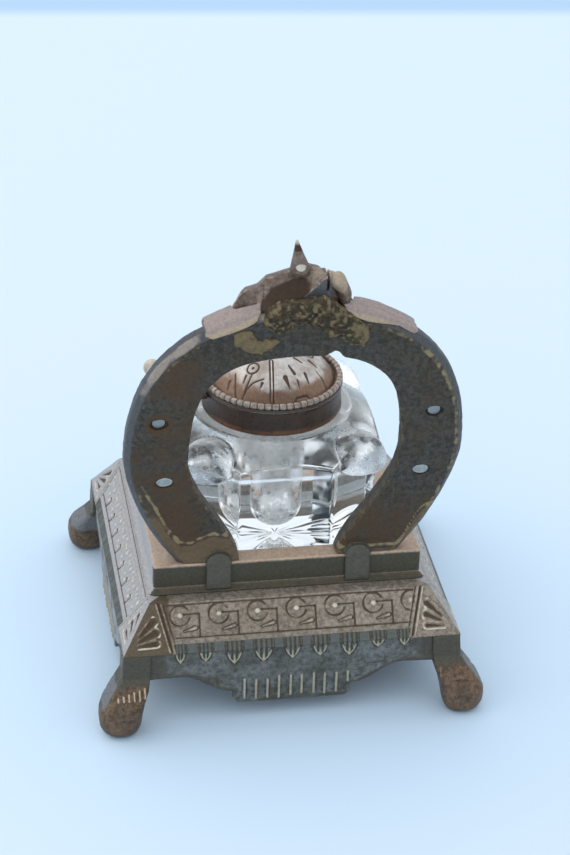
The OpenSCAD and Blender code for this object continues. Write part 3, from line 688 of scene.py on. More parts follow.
def gallery_field(x, y, z):
    wander = 0.1 * cast_grain(x, y, z, 6.0, 7)
    skirt = 1.4 * np.clip(1 - (z - 34.0) / 1.3, 0, 1) ** 1.6
    walls = plank(x, y, GALLERY_X, GALLERY_Y, 0.5) - skirt
    well = np.maximum(plank(x, y, WELL_HALF, WELL_HALF, 0.6), WELL_Z - z)
    body = cut_to(walls, z - LEDGE_Z + 0.04 + wander * 0.4, 0.7)
    body = cut_to(body, -well, 0.5)
    return np.maximum(body, PLATE_Z - z)


def make_gallery():
    shape = carve(gallery_field, (-38.2, -35.5, 33.0), (38.2, 35.5, 43.2), 0.5)
    x, y, z = shape[0].T
    outside = plank(x, y, GALLERY_X, GALLERY_Y)
    wall = ease(outside, -0.6, -0.1) * ease(z, 34.9, 35.9) * (1 - ease(z, 40.9, 41.7))
    inside = 1 - ease(plank(x, y, WELL_HALF, WELL_HALF), -0.1, 0.4)
    rear = ease(y, 28, 32.5)
    x_side = ease(np.abs(x) - np.abs(y) - 3.0, -0.2, 0.2)
    ledge = ease(z, 41.2, 41.9) * (1 - inside)
    cove = ease(outside, -0.3, 0.2) * (1 - ease(z, 34.9, 35.9)) * (1 - x_side)
    # Strongest low on the wall; the rear wall is browner there
    grime = 0.8 * (1 - ease(z + 1.2 * cast_grain(x, 0, 0, 4.0, 63), 35.4, 38.6))
    streaks = cast_grain(x, 0, z * 0.12, 1.6, 61) + 0.5 * cast_grain(x, 0, z, 7.0, 62)
    streaks = ease(streaks, 0.15, 0.7) * wall * rear
    piece("gallery_casting", shape, "stand", "bronzed_casting", ["gallery"], FINISHES["bronzed"],
          # A painted shade on the rear wall and its cove, which face away from the light
          rounds=3, scale=0.5, dark_wall=rear * np.maximum(wall * 0.95, cove * 0.6),
          brown=np.maximum(cove * (0.5 + 0.5 * rear), wall * rear * grime),
          # A painted sheen of light on the x-facing sides, and the rear wall's streaks in the same tint
          silvered=np.maximum(x_side * (1 - inside) * 0.75, streaks * 0.4),
          rubbed=ledge * (0.6 + 0.25 * rear), well=inside * (1 - ease(z, 38.2, 39.4)))


# ---------------------------------------------------------------- aprons and feet
def apron_outline():
    """Across and height of the apron's edge, with its S curves and the stepped panel in its middle."""
    curve = bend([(29.7, 14.2), (24.3, 14.2), (21.8, 8.5), (15.8, 8.5)], 12)
    half = [(40.06, 22.2), (40.06, 13.8)] + [tuple(q) for q in curve] + [(15.8, 5.9), (14.5, 4.6)]
    return half + [(-a, b) for a, b in half[::-1]]


# Each leaf: its middle, half its width and the height of its tip
TASSELS = ((29.9, 1.7, 18.5), (23.2, 2.0, 18.7), (15.6, 2.45, 17.4), (7.8, 2.75, 17.6), (0.1, 2.45, 18.0),
           (-7.3, 2.45, 18.1), (-15.1, 2.5, 17.7), (-22.8, 2.2, 19.6), (-29.9, 1.9, 19.5))
# Each stroke: its place, its top and its foot
STROKES = ((12.75, 12.7, 5.9), (9.65, 12.2, 5.6), (6.6, 12.2, 5.6), (3.5, 13.0, 5.3), (0.35, 13.0, 5.9),
           (-2.6, 12.7, 6.2), (-5.85, 13.0, 5.9), (-8.8, 12.7, 5.6), (-11.95, 12.7, 5.9), (-15.0, 12.9, 9.1))
LEAF_TOP = 25.0
APRON_SHAPE = Template(apron_outline(), 4.0)


def apron_marks(x, z):
    """Rise in mm of the apron's face, its gilt and dark leaves, and the distance to its edge."""
    rise, gilt, dark = 0 * (x + z), 0 * (x + z), 0 * (x + z)
    for at, half, tip in TASSELS:
        down = (LEAF_TOP - z) / (LEAF_TOP - tip)
        d = np.maximum(np.abs(x - at) - half * np.clip(1.02 - np.clip(down, 0, 2) ** 3.2, -0.4, 1), tip - z)
        body = 1 - ease(d, -0.3, 0.1)
        ribs = 0.5 + 0.5 * np.cos((x - at) * 2 * math.pi / (half * 0.5))
        rim = groove(d + 0.45, 0.25) * ease(down, 0.4, 0.6)
        rise = np.maximum(rise, body * (0.28 + 0.16 * ribs) + 0.15 * rim)
        gilt = np.maximum(gilt, body * np.maximum((0.3 + 0.5 * ease(down, 0.35, 0.9)) * ribs, 0.8 * rim))
        dark = np.maximum(dark, np.maximum(groove(d - 0.05, 0.25) * 0.7, body * 0.9 * (1 - ribs) * (1 - rim)))
    for at, top, foot in STROKES:
        flute = 1 - ease(rod(x, z, ((at, foot + 0.4), (at, top - 0.4)), 0.34), -0.25, 0.22)
        rise = np.maximum(rise, flute * 0.5)
        gilt = np.maximum(gilt, flute * 0.9)
    edge = APRON_SHAPE(x, z)
    rim = groove(edge + 0.9, 0.7) * (z < 15.5) * (np.abs(x) > 15.0)
    return np.maximum(rise, rim * 0.25), gilt, dark, edge


def apron_field(x, y, z):
    rise, _, _, edge = apron_marks(x, z)
    rise = rise + 0.07 * cast_grain(x, y * 0, z, 3.5, 11)
    slab = np.maximum(y - APRON_FACE - rise, APRON_FACE - APRON_T - y)
    return cut_to(edge, slab, 0.5)


def make_aprons():
    shape = carve(apron_field, (-41.5, 41.0, 3.5), (41.5, 45.8, 23.2), 0.36)
    p = shape[0]
    p[:, 2] = np.minimum(p[:, 2], FRIEZE_Z)
    x, y, z = p.T
    _, gilt, dark, edge = apron_marks(x, z)
    front = ease(y, APRON_FACE - 0.2, APRON_FACE + 0.1)
    low_edge = ease(edge, -2.6, -0.6) * (z < 16.5)
    dusky = np.maximum(low_edge * (0.6 + 0.4 * cast_grain(x, 0, z, 5.0, 12)),
                       0.8 * ease(np.abs(x), 30.0, 37.0))
    crack = groove(rod(x, z, ((-15.6, 14.2), (-25.5, 14.9)), 0.0), 0.4)
    for name, turn in (("rear_apron", 0), ("left_apron", 90), ("front_apron", 180), ("right_apron", -90)):
        c, s = math.cos(math.radians(turn)), math.sin(math.radians(turn))
        turned = np.stack([c * x - s * y, s * x + c * y, z], 1)
        # The side aprons get a painted sheen of light
        piece(name + "_plate", (turned, shape[1]), "stand", "grey_metal", [name], FINISHES["grey"],
              rounds=3, scale=0.5, gilt=gilt * front, leaf_dark=np.maximum(dark, 0.6 * crack) * front,
              dusky=dusky, silvered=0.75 * (turn % 180 != 0) * front)


def foot_flutes(x, y, z):
    """Six upright flutes on the flare above the pad, on the side that looks along y."""
    wave = 0.5 + 0.5 * np.cos((x - 39.6) * 2 * math.pi / 1.42)
    top = 14.0 - 0.23 * (x - 39.5)
    reach = ease(z, 10.6, 11.2) * (1 - ease(z, top - 0.7, top)) * (1 - ease(np.abs(x - 43.1), 3.7, 4.2))
    return ease(wave, 0.5, 0.92) * reach * ease(y - x, 0.8, 1.6)


# Up the foot: the height, its near and far side along x and y, and the radius of its corners
FOOT_Z = (-1, 0, 0.6, 1.5, 3, 5, 7, 9, 10.2, 11.2, 12, 13, 14, 15.5, 24)
FOOT_IN = (42.6, 42.6, 41.7, 41.2, 40.6, 40.2, 39.9, 39.5, 39.1, 38.8, 38.5, 38.3, 38.1, 37.8, 37.4)
FOOT_OUT = (48.7, 48.7, 50.1, 50.9, 51.5, 51.7, 51.5, 50.5, 49.6, 48.8, 48.1, 47.2, 46.4, 45.3, 45.0)
FOOT_ROUND = (2.6, 2.6, 3.6, 4.3, 4.9, 5.0, 4.4, 3.4, 2.8, 2.3, 1.9, 1.4, 0.9, 0.5, 0.5)


def foot_field(x, y, z):
    near, far, turn = (np.interp(z, FOOT_Z, v) for v in (FOOT_IN, FOOT_OUT, FOOT_ROUND))
    middle, half = (near + far) / 2, (far - near) / 2
    foot = plank(x - middle, y - middle, half, half, np.minimum(turn, half - 0.05))
    crease = 0.22 * groove(z - 10.2, 0.4) * ease(x + y, 88, 92)
    foot = foot * 0.85 + crease - 0.22 * foot_flutes(x, y, z) - 0.12 * cast_grain(x, y, z, 3.0, 17)
    return np.maximum(foot, np.maximum(-z, z - FRIEZE_Z))


def make_feet():
    """One foot, mirrored to the four corners."""
    shape = carve(foot_field, (34.0, 34.0, -0.6), (53.0, 53.0, 23.0), 0.36)
    p = shape[0]
    p[:, 2] = np.clip(p[:, 2], 0.0, FRIEZE_Z)
    p[:, :2] = np.minimum(p[:, :2], 51.8)
    x, y, z = p.T
    flute = foot_flutes(x, y, z)
    grey_top = 0.9 * ease(z + 0.8 * cast_grain(x, y, z, 2.0, 18), 11.8, 15.6)
    grey_sole = 0.8 * (1 - ease(z, 0.8, 2.6))
    # A painted sheen of light on the side that faces across x
    silvered = 0.8 * ease(x - y, 0.6, 2.0) * ease(z, 7.0, 9.5)
    for name, sx, sy in (("rear_right_foot", 1, 1), ("rear_left_foot", -1, 1),
                         ("front_right_foot", 1, -1), ("front_left_foot", -1, -1)):
        faces = [f if sx * sy > 0 else f[:, ::-1] for f in shape[1]]
        piece(name + "_casting", (p * (sx, sy, 1), faces), "stand", "brown_foot", [name], FINISHES["foot"],
              rounds=3, scale=0.5, flute=flute * (1.0 if sx > 0 else 0.25), grey_top=grey_top,
              grey_sole=grey_sole, silvered=silvered)


# ---------------------------------------------------------------- the horseshoe
OUTER_HALF = np.vstack([bend([(0, 79), (25.0, 79), (43.9, 66.5), (43.9, 34.5)]),
                        bend([(43.9, 34.5), (43.9, 27.6), (38.4, 10.0), (29.4, 0)])[1:]])
INNER_HALF = np.vstack([bend([(0, 65.8), (19.8, 65.8), (27.5, 59.2), (27.5, 34.5)]),
                        bend([(27.5, 34.5), (27.5, 22.1), (13.5, 8.6), (12.8, 0)])[1:]])


def both_sides(half, foot_x):
    """The whole outline of a shoe from its right half, carried on below the heels."""
    half = np.vstack([half, [(foot_x, -6.0)]])
    return np.vstack([half, half[::-1] * (-1, 1)])


OUTER, INNER = Template(both_sides(OUTER_HALF, 29.4)), Template(both_sides(INNER_HALF, 12.8))
SHOE_AXES = np.array(Matrix.Rotation(-SHOE_TIP, 3, "Y") @ Matrix.Rotation(-SHOE_LEAN, 3, "X"))


def to_shoe(x, y, z):
    """A place in the shoe's own frame: across it, its depth to the rear and the height up it."""
    q = (x - SHOE_AT[0], y - SHOE_AT[1], z - SHOE_AT[2])
    return [sum(SHOE_AXES[k][axis] * q[k] for k in range(3)) for axis in range(3)]


def to_hole(x, s, at, oval=False):
    """Distance over the shoe's face to the middle of a hole on either side, or to that of a wide oval."""
    wide, tall = (0.85, 1.2) if oval else (1, 1)
    return np.hypot((np.abs(x) - at[0]) * wide, (s - at[1]) * tall)


def shoe_body(x, w, s, holes=True):
    out, opening = OUTER(x, s), INNER(x, s)
    share = opening / np.maximum(opening - out, 0.5)
    back = SHOE_T + 0.8 * np.clip(1 - s / 4, 0, 1)
    fuller = 1.1 * ease(share, 0.33, 0.41) * (1 - ease(share, 0.59, 0.67)) * ease(s, 3, 8)
    sway = 0.1 * cast_grain(x, w, s, 7.0, 21) + 0.05 * cast_grain(x, w, s, 1.8, 22)
    body = cut_to(out, -opening, 0.3)
    body = cut_to(body, fuller - w, 0.6)
    body = cut_to(body, w - back, 0.6)
    body = cut_to(body, (w - back + 1.8 + out) * DIAGONAL, 0.5)
    body = cut_to(body, 1.7 - np.hypot(x + 8.3, (s - 64.9) * 0.9), 1.2)
    if holes:
        for at in (NAIL_AT, HOOK_AT):
            near = to_hole(x, s, at)
            body = np.maximum(body, np.maximum(1.66 - near, np.minimum(2.6 - near, 1.15 - w)))
            body = cut_to(body, np.minimum(2.0 - to_hole(x, s, at, oval=True), w - 3.75), 0.3)
    return body + sway


def horseshoe_field(x, y, z):
    across, w, s = to_shoe(x, y, z)
    shoe = np.maximum(shoe_body(across, w, s), LEDGE_Z - z)
    lug_x = np.abs(x) - LUG_X
    plate = np.maximum(plank(lug_x, z - 39.2, 3.3, 5.6, 0.5), plank(lug_x, y - 33.5, 9, 0.6))
    nose = np.maximum(np.hypot(lug_x, z - LEDGE_Z) - 3.3, np.maximum(y - 34.1, 30.0 - y))
    nose = np.maximum(nose, LEDGE_Z - z)
    lug = blend_in(np.maximum(plate, z - 43.0), nose, 0.4)
    lug = np.maximum(lug, np.minimum(32.95 - y, LEDGE_Z - z))
    lug = np.maximum(lug, 34.3 - z)
    return blend_in(shoe, lug + 0.05 * cast_grain(x, y, z, 2.0, 23), 0.3)


# The crust's lower edge on the right heel: across and height
HEEL_X = (18.4, 20.1, 23.6, 26.2, 29.2, 32.0, 35.6, 39.2, 41.0)
HEEL_S = (9.3, 10.0, 8.6, 7.1, 7.9, 11.5, 19.6, 27.0, 33.0)


def make_horseshoe():
    shape = carve(horseshoe_field, (-45.2, 26.0, 33.6), (45.2, 45.5, 122.4), 0.46)
    p = shape[0]
    x, w, s = to_shoe(p[:, 0], p[:, 1], p[:, 2])
    out = OUTER(x, s)
    rear, right, left = ease(w, 2.6, 3.4), x > 0, x < 0
    off_lug = (np.abs(np.abs(p[:, 0]) - LUG_X) >= 3.6) | (p[:, 1] <= 32.6) | (p[:, 2] >= 45.6)
    bevel = ease(out, -1.9, -1.2)
    flat_rear = rear * (1 - bevel)
    # A pale crust along the bevel and over the heels
    ridge = 0.35 + 0.3 * left * (s < 66) + 0.3 * cast_grain(x, w, s, 9.0, 25)
    ridge = groove(out + 2.0, 0.7) * ease(w, 3.9, 4.5) * ridge * (0.8 + 0.4 * cast_grain(x, w, s, 1.2, 20))
    heel_line = np.where(right, np.interp(x, HEEL_X, HEEL_S), 3.0 + ease(-x, 28.0, 36.0) * 13.0)
    broken = np.clip(0.7 + 0.5 * cast_grain(x, w, s, 1.3, 27), 0, 1)
    near_line = groove((s - heel_line) * np.where(x > 29, 0.4, 1.0), 0.55)
    near_line = near_line * rear * (1 - ease(s, 22, 32)) * broken
    inner_edge = groove(INNER(x, s) - 0.3, 0.5) * 0.35
    heel = ease(heel_line - s, 0.0, 2.0) * flat_rear * off_lug
    heel = heel * (1 - 0.6 * ease(s, 8, 24)) * (0.75 + 0.35 * cast_grain(x, w, s, 3.0, 28))
    # A painted highlight along the outer edge at the upper right
    pale_edge = groove(out + 0.5, 1.1) * ease(w, 1.6, 3.4) * right * ease(s, 44, 62)
    pale_edge = pale_edge * (0.6 + 0.5 * cast_grain(x, w, s, 4.0, 24))
    # Rust in clouds, on the left heel and round the right holes
    rust = (0.35 + 0.45 * cast_grain(x, w, s, 16.0, 26)) * (0.45 + 0.75 * ease(x, -12, 12))
    rust = rust * flat_rear * (s < 66) * off_lug
    rust = rust + 0.4 * left * (1 - ease(s, 14, 26)) * rear * off_lug
    around = np.minimum(to_hole(x, s, NAIL_AT), to_hole(x, s, HOOK_AT))
    rust = np.maximum(rust, (1 - ease(around, 2.2, 5.0)) * flat_rear * right)
    piece("horseshoe_casting", shape, "stand", "dark_shoe", ["horseshoe"], FINISHES["shoe"],
          rounds=4, scale=0.45, bevel_side=bevel * 0.9 * off_lug, rust=rust,
          pale_edge=np.clip(pale_edge, 0, 1), lug_face=~off_lug * 0.8,
          crust=np.clip(ridge + near_line + inner_edge, 0, 1) * off_lug, heel=heel)


def nail_field(x, y, z):
    """Shanks and heads of the two nails, and the oval ends that close all four holes in the rear."""
    across, w, s = to_shoe(x, y, z)
    near = to_hole(across, s, NAIL_AT)
    shank = np.maximum(near - 1.5, np.maximum(-w - 0.1, w - 4.0))
    head = cut_to(near - 2.4, np.maximum(-w - 0.1, w - 1.05), 0.3)
    between_faces = np.maximum(3.8 - w, w - 4.35 + 0.05 * near)
    ends = np.minimum(*(cut_to(to_hole(across, s, at, oval=True) - 1.9, between_faces, 0.25)
                        for at in (NAIL_AT, HOOK_AT)))
    return np.minimum(np.minimum(shank, head), ends + 0.06 * cast_grain(x, y, z, 1.2, 29))


def make_nails():
    shape = carve(nail_field, (-38.5, 29.5, 66.0), (38.5, 40.5, 93.0), 0.3)
    piece("nail_ends", shape, "stand", "nail_metal", ["horseshoe_nails"], FINISHES["nail"], rounds=2)


# ---------------------------------------------------------------- the horse's head and its leaves
HEAD = Template([(-7.5, 65.6), (-13.4, 69.9), (-14.2, 76.3), (-12.6, 79.4), (-11.3, 82.2), (-9.5, 83.8),
                 (-7.6, 85.4), (-5.5, 85.9), (-4.6, 86.7), (-1.9, 87.6), (2.7, 86.5), (5.7, 85.5), (8.8, 84.5),
                 (11.0, 82.1), (13.9, 81.0), (16.5, 78.7), (17.4, 76.8), (17.6, 72.8), (16.2, 71.7),
                 (12.4, 71.4), (8.3, 71.1), (4.1, 69.1), (0, 66.0)], 5.0)
LEAF_RIGHT = Template([(9.6, 83.5), (10.2, 80.5), (10.7, 78.6), (11.8, 77.1), (15.6, 75.3), (19.7, 73.7),
                       (22.6, 72.4), (24.6, 72.6), (24.0, 76.5), (19.0, 80.5), (14.0, 84.5)], 6.0)
LEAF_LEFT = Template([(-8.5, 84.5), (-9.4, 80.8), (-10.4, 78.2), (-13.5, 76.8), (-17.8, 75.2), (-24.1, 73.2),
                      (-28.0, 70.6), (-30.0, 70.5), (-29.0, 74.0), (-24, 80.0), (-14, 85.0)], 6.0)
# The scoop behind the head: across, its upper rim, its lower rim and how far to the rear that one is
SCOOP = np.array([(-14, 76.6, 76, -1.2), (-9, 84, 83, -1.2), (-6.2, 85.7, 85.5, -1.2),
                  (-4.6, 86.6, 85.0, -0.6), (-1.8, 87.6, 83.3, 1.0), (0.3, 87, 81.5, 1.6),
                  (4.6, 85.8, 80.8, 2.2), (8.6, 84.6, 79.7, 2.5), (10.5, 82.4, 78.4, 2.0),
                  (11.5, 82, 78, -0.5), (14, 80.9, 77.5, -2.0), (17.5, 76.8, 76.5, -2.4)])


def head_relief(x, s):
    """How far the head's face stands in front of the shoe, in mm."""
    deep = np.clip(-HEAD(x, s) / 4.6, 0, 1)
    proud = 1.0 + 4.3 * np.sqrt(np.maximum(1 - (1 - deep) ** 2, 0))
    cheek = np.exp(-((x + 0.5) ** 2 / 30 + (s - 76.6) ** 2 / 22))
    brow = np.exp(-((x - 4.6) ** 2 / 9 + (s - 82.3) ** 2 / 2.2))
    nose = np.exp(-((x - 14.6) ** 2 / 9 + (s - 75.6) ** 2 / 11)) * 1.6
    ridge = groove(rod(x, s, ((6.0, 81.6), (14.5, 78.6)), 0.0), 1.1)
    eye = np.hypot((x - 4.7) * 0.85, s - 80.9)
    nostril = np.hypot((x - 15.4) * 0.8, s - 76.2)
    mouth = groove(rod(x, s, ((17.2, 73.6), (12.2, 73.9)), 0.0), 0.3)
    jaw = groove(np.hypot(x + 0.5, s - 76.6) - 5.6, 0.5) * ease(74.5 - s, -3, 1.5)
    mane_at = ease(-x, 2.5, 6.5) * ease(s, 66, 70)
    locks = np.sin((x * 1.25 + (s - 70) * 0.75 + 1.1 * np.sin(s * 0.55)) * 1.9)
    return (proud + 1.0 * cheek + 0.5 * brow + 0.6 * nose + 0.25 * ridge
            - 0.5 * groove(eye - 1.25, 0.3) + 0.45 * (1 - ease(eye, 0.5, 1.1))
            - 0.7 * (1 - ease(nostril, 0.4, 0.9)) - 0.45 * mouth - 0.3 * jaw + 0.35 * mane_at * locks)


def scoop(x, s):
    """How far to the rear the crest's back stands, and how far below the scoop's lower rim a place is."""
    high, low, reach = (np.interp(x, SCOOP[:, 0], SCOOP[:, k]) for k in (1, 2, 3))
    fall = np.clip((high - s) / np.maximum(high - low, 0.4), 0, 1)
    below = low - s
    return -3.1 + (reach + 3.1) * fall ** 1.7 + 0.3 * np.maximum(below, 0), below


def crest_field(x, y, z):
    x, w, s = to_shoe(x, y, z)
    outline = HEAD(x, s) + 0.25 * cast_grain(x, 0, s, 3.0, 34)
    proud = np.minimum(head_relief(x, s) + 2.4 * ease(s, 78, 80.5) * (1 - ease(-HEAD(x, s), 0.5, 3.0)), 6.4)
    back, _ = scoop(x, s)
    back = np.minimum(back + 0.3 * cast_grain(x, 0, s, 3.5, 31), 3.7)
    head = cut_to(cut_to(outline, -w - proud, 0.7), w - back, 0.5)
    tuft = egg(x, w, s, (-8.7, -0.6, 84.7), (1.9, 2.4, 2.3))
    tuft = blend_in(tuft, egg(x, w, s, (-10.5, 0.0, 80.8), (1.6, 2.1, 2.8)), 1.8)
    gap = np.abs(x * 0.985 + (s - 85) * 0.1 + 6.4) - 0.25
    head = cut_to(head, -np.maximum(gap, 81.8 - s), 0.3)
    head = blend_in(head, tuft, 0.5)
    ear = bar(x, w, s, (0.6, -3.4, 87.0), (1.75, -3.8, 95.0), 2.5, 0.28)
    ear = cut_to(ear, -bar(x, w, s, (0.9, -6.4, 88.0), (1.7, -5.4, 93.0), 1.9, 0.8), 0.4)
    head = blend_in(head, ear, 0.9)
    thick = 1 - ease(np.abs(x), 15.0, 26.0)
    shell = shoe_body(x, w, s, False) - 0.25 - 0.6 * thick
    front = np.maximum(np.abs(OUTER(x, s) + 0.6) - 0.8 - 0.7 * thick, np.maximum(w - 0.5, -2.9 - w))
    leaf = cut_to(blend_in(shell, front, 0.4), np.minimum(LEAF_RIGHT(x, s), LEAF_LEFT(x, s)), 0.5)
    leaf = cut_to(leaf, -w - 2.8 + 2.4 * ease(-HEAD(x, s), -0.3, 0.5), 0.4)
    head = blend_in(head, leaf, 0.9)
    return head + 0.07 * cast_grain(x, w, s, 2.2, 33)


def make_crest():
    shape = carve(crest_field, (-33.5, 27.0, 104.0), (33.5, 47.5, 139.5), 0.34)
    x, w, s = to_shoe(*shape[0].T)
    inward, leaf = -HEAD(x, s), np.minimum(LEAF_RIGHT(x, s), LEAF_LEFT(x, s))
    back, below = scoop(x, s)
    facing = ease(w - back, -1.0, -0.3) * (1 - ease(-leaf, -0.3, 0.3))
    off_rim = ease(inward, 0.7, 3.2)
    # Painted shade in the scoop and on the muzzle's rear, blue-grey below the scoop
    cave = facing * off_rim * (1 - ease(below, -0.3, 0.5)) * ease(x, -3.6, 0.6)
    cave = np.maximum(cave, 0.8 * ease(x, 8.0, 10.5) * ease(w, -5.0, -3.0) * (leaf > 0.2))
    blue = facing * ease(below, -0.1, 0.6) * ease(x, -8.0, -6.6) * (1 - ease(x, 8.5, 10.5))
    # Mauve on the leaves, where the face doesn't cover them, and a faint painted highlight along the head's edge
    on_leaf = ease(-leaf, -0.2, 0.4) * (1 - ease(OUTER(x, s), 1.0, 1.7))
    face = ease(inward, -0.2, 0.3) * ease(-w, 0.0, 1.0)
    head_edge = (1 - off_rim) * (w < 0) * (s < 86.6) * (x < 10.5) * (1 - facing)
    mauve = np.maximum(on_leaf * 0.8 * (1 - face), 0.25 * head_edge)
    # Tan on the leaves' lower rims, on the tuft of mane and on the scoop's left
    pale_rim = groove(leaf + 0.6, 0.8) * ease(w, 3.0, 4.6) * (1 - ease(s, 79.5, 81))
    lump = 1 - ease(np.hypot((x + 8.7) / 2.1, (s - 84.7) / 2.4), 0.85, 1.15)
    tan = pale_rim + lump + 0.5 * facing * ease(-x, -0.5, 3.0) * (1 - ease(below, -0.3, 0.3))
    # A painted glint at the ear's base, and the ear's pale tip
    glint = 1 - ease(np.hypot((x - 0.7) / 1.3, (s - 88.4) / 0.9), 0.6, 1.3)
    ear_tip = ease(s, 94.2, 94.7)
    piece("crest_casting", shape, "stand", "crest_bronze", ["crest"], FINISHES["crest"], rounds=3,
          scale=0.4, hollow_side=cave, blue_back=blue, mauve=mauve, tan=np.clip(tan, 0, 1),
          band=groove(s - 93.1, 0.85), pale=np.clip(glint * (w > -3.2) + ear_tip, 0, 1))


# The outlines of the two runs of solder
CRUSTS = [Template(outline, 5.0) for outline in (
    [(9.1, 80.2), (7.0, 81.6), (4.8, 82.2), (1.0, 82.4), (-2.6, 82.9), (-4.7, 83.3), (-7.4, 81.8), (-9.2, 79.9),
     (-13.3, 76.6), (-16.0, 74.5), (-16.8, 71.0), (-15.0, 68.7), (-11.9, 69.2), (-9.5, 71.1), (-6.4, 71.9),
     (-4.0, 74.5), (-1.7, 75.6), (1.1, 75.6), (3.3, 74.9), (6.0, 73.3), (7.6, 73.4), (9.4, 74.9), (10.3, 76.9)],
    [(17.8, 73.9), (17.5, 70.6), (14.3, 68.2), (10.4, 67.6), (7.5, 68.4), (6.2, 71.2), (7.4, 72.2), (10.4, 71.4),
     (12.3, 72.6), (12.6, 74.5), (14.9, 75.0)])]


def solder_field(x, y, z):
    x, w, s = to_shoe(x, y, z)
    run = np.minimum(CRUSTS[0](x, s), CRUSTS[1](x, s))
    run = run + 0.4 * cast_grain(x, 0, s, 1.9, 41) + 0.18 * cast_grain(x, 0, s, 0.8, 42)
    top = SHOE_T + 0.75 + 0.42 * cast_grain(x, w * 0, s, 2.2, 43) + 0.22 * cast_grain(x, 0, s, 0.8, 44)
    top = top + 0.35 * ease(-run, 0.3, 2.0) - 0.35 * np.maximum(s - 80, 0)
    slab = np.maximum(w - top, 2.4 - w)
    return cut_to(run, slab, 0.9)


def make_solder():
    shape = carve(solder_field, (-19.5, 38.2, 106.0), (20.0, 46.5, 126.0), 0.3)
    x, _, s = to_shoe(*shape[0].T)
    green = 0.35 * ease(s, 78.5, 81.5) * (x > -14) + 0.35 * (x < -11)
    golden = 0.7 * (CRUSTS[1](x, s) < 0.5) + 0.45 * ease(-x, 11.0, 15.0) + 0.3
    golden = golden + 0.5 * cast_grain(x, 0, s, 1.1, 45)
    piece("solder_crust", shape, "stand", "old_solder", ["crest_solder"], FINISHES["solder"],
          rounds=2, scale=0.3, green=np.clip(green, 0, 1), golden=np.clip(golden, 0, 1))


# ---------------------------------------------------------------- the inkwell
def octagon(x, y, half, cut):
    """Distance to a square of half width half with its corners cut at the diagonal distance cut."""
    return np.maximum(np.maximum(np.abs(x), np.abs(y)) - half, (np.abs(x) + np.abs(y)) * DIAGONAL - cut)


def glass_field(x, y, z):
    ax, ay, r = np.abs(x), np.abs(y), np.hypot(x, y)
    # The block, with an arched flute up each corner
    half = 26.3 + 0.8 * np.clip((z - WELL_Z) / 26.6, 0, 1)
    wall = cut_to(np.maximum(ax, ay) - half, (ax + ay - half - 12.4) * DIAGONAL, 0.5)
    flute = np.hypot(ax - 26.2, ay - 26.2) - 7.4
    arch = cut_to(flute, z - 60.8 + 0.35 * np.abs(ax - ay), 1.0)
    body = cut_to(wall, -arch, 0.35)
    body = cut_to(cut_to(body, WELL_Z - z, 0.6), z - SHOULDER_Z - 1.0, 0.4)
    # The shoulder, a band that slopes in to the collar
    band = octagon(x, y, 27.5, 37.8 * DIAGONAL + 1.4)
    slope = (r - 27.2 + (z - BAND_Z) * 1.55) * 0.55
    shoulder = cut_to(cut_to(cut_to(band, SHOULDER_Z - z, 0.7), slope, 0.8), z - COLLAR_Z, 0.5)
    shoulder = cut_to(shoulder, octagon(x, y, 27.4 - (z - BAND_Z) * 1.2, 40) * 0.65, 0.5)
    glass = blend_in(body, shoulder, 0.5)
    # A ribbed lobe on each corner
    turn = np.arctan2(ay - 21, ax - 21) - math.pi / 4
    ribs = 0.16 * np.abs(np.cos(turn * 2.5)) - 0.1
    lobe = egg(ax, ay, z, (19.7, 19.7, 62.0), (8.4, 8.4, 9.2)) - ribs * ease(np.hypot(ax - 21, ay - 21), 1, 5)
    glass = blend_in(glass, cut_to(lobe, SHOULDER_Z - z, 0.9), 0.5)
    # The star cut under the foot, the neck, and the bore with its wider mouth
    star = WELL_Z + 0.4 * np.abs(np.sin(np.arctan2(y, x) * 4 + 0.4)) * ease(25.0 - r, 0, 12) - z
    glass = np.maximum(glass, star)
    neck = cut_to(r - 16.45, z - 76.5, 0.3)
    glass = np.minimum(glass, np.maximum(neck, 68.0 - z))
    bore = bar(x, y, z, (0, 0, 46.1), (0, 0, 80.0), BORE_R, BORE_R)
    mouth = r - np.clip(BORE_R + (z - SHOULDER_Z) * 4.0 / 4.2, BORE_R, 11.0)
    return cut_to(glass, -blend_in(bore, cut_to(mouth, SHOULDER_Z - 0.5 - z, 0.4), 0.5), 0.3)


def make_glass():
    """The glass, frosted in its bore and more lightly on its shoulder and lobes."""
    shape = carve(glass_field, (-28.6, -28.6, 35.6), (28.6, 28.6, 77.2), 0.42)
    p = shape[0]
    p[:, 2] = np.maximum(p[:, 2], WELL_Z + 0.12)
    x, y, z = p.T
    r = np.hypot(x, y)
    bore = (1 - ease(r, BORE_R + 0.3, BORE_R + 0.8)) * (z > 38.5)
    lobe = 1 - ease(np.hypot(np.abs(x) - 20, np.abs(y) - 20), 7.0, 9.5)
    upper = ease(z, 62.0, 62.6) * (r > 12)
    piece("inkwell_glass", shape, "inkwell", "clear_glass", ["glass_inkwell"], FINISHES["glass"],
          frost=np.maximum(bore, (0.35 + 0.35 * lobe) * upper))


def barrel_field(x, y, z, low, high, arm, root):
    """A bored knuckle of the hinge between two places on its axis, with its arm back to the rim."""
    off, pin = np.abs(y - (low + high) / 2) - (high - low) / 2, np.hypot(x - HINGE_X, z - HINGE_Z)
    knuckle = cut_to(pin - 1.68, off, 0.25)
    strap = np.maximum(np.maximum(off + 0.05, root - x),
                       np.maximum(np.maximum(x - HINGE_X, arm[0] - z), z - arm[1]))
    return np.maximum(blend_in(knuckle, strap, 0.3), 0.85 - pin)


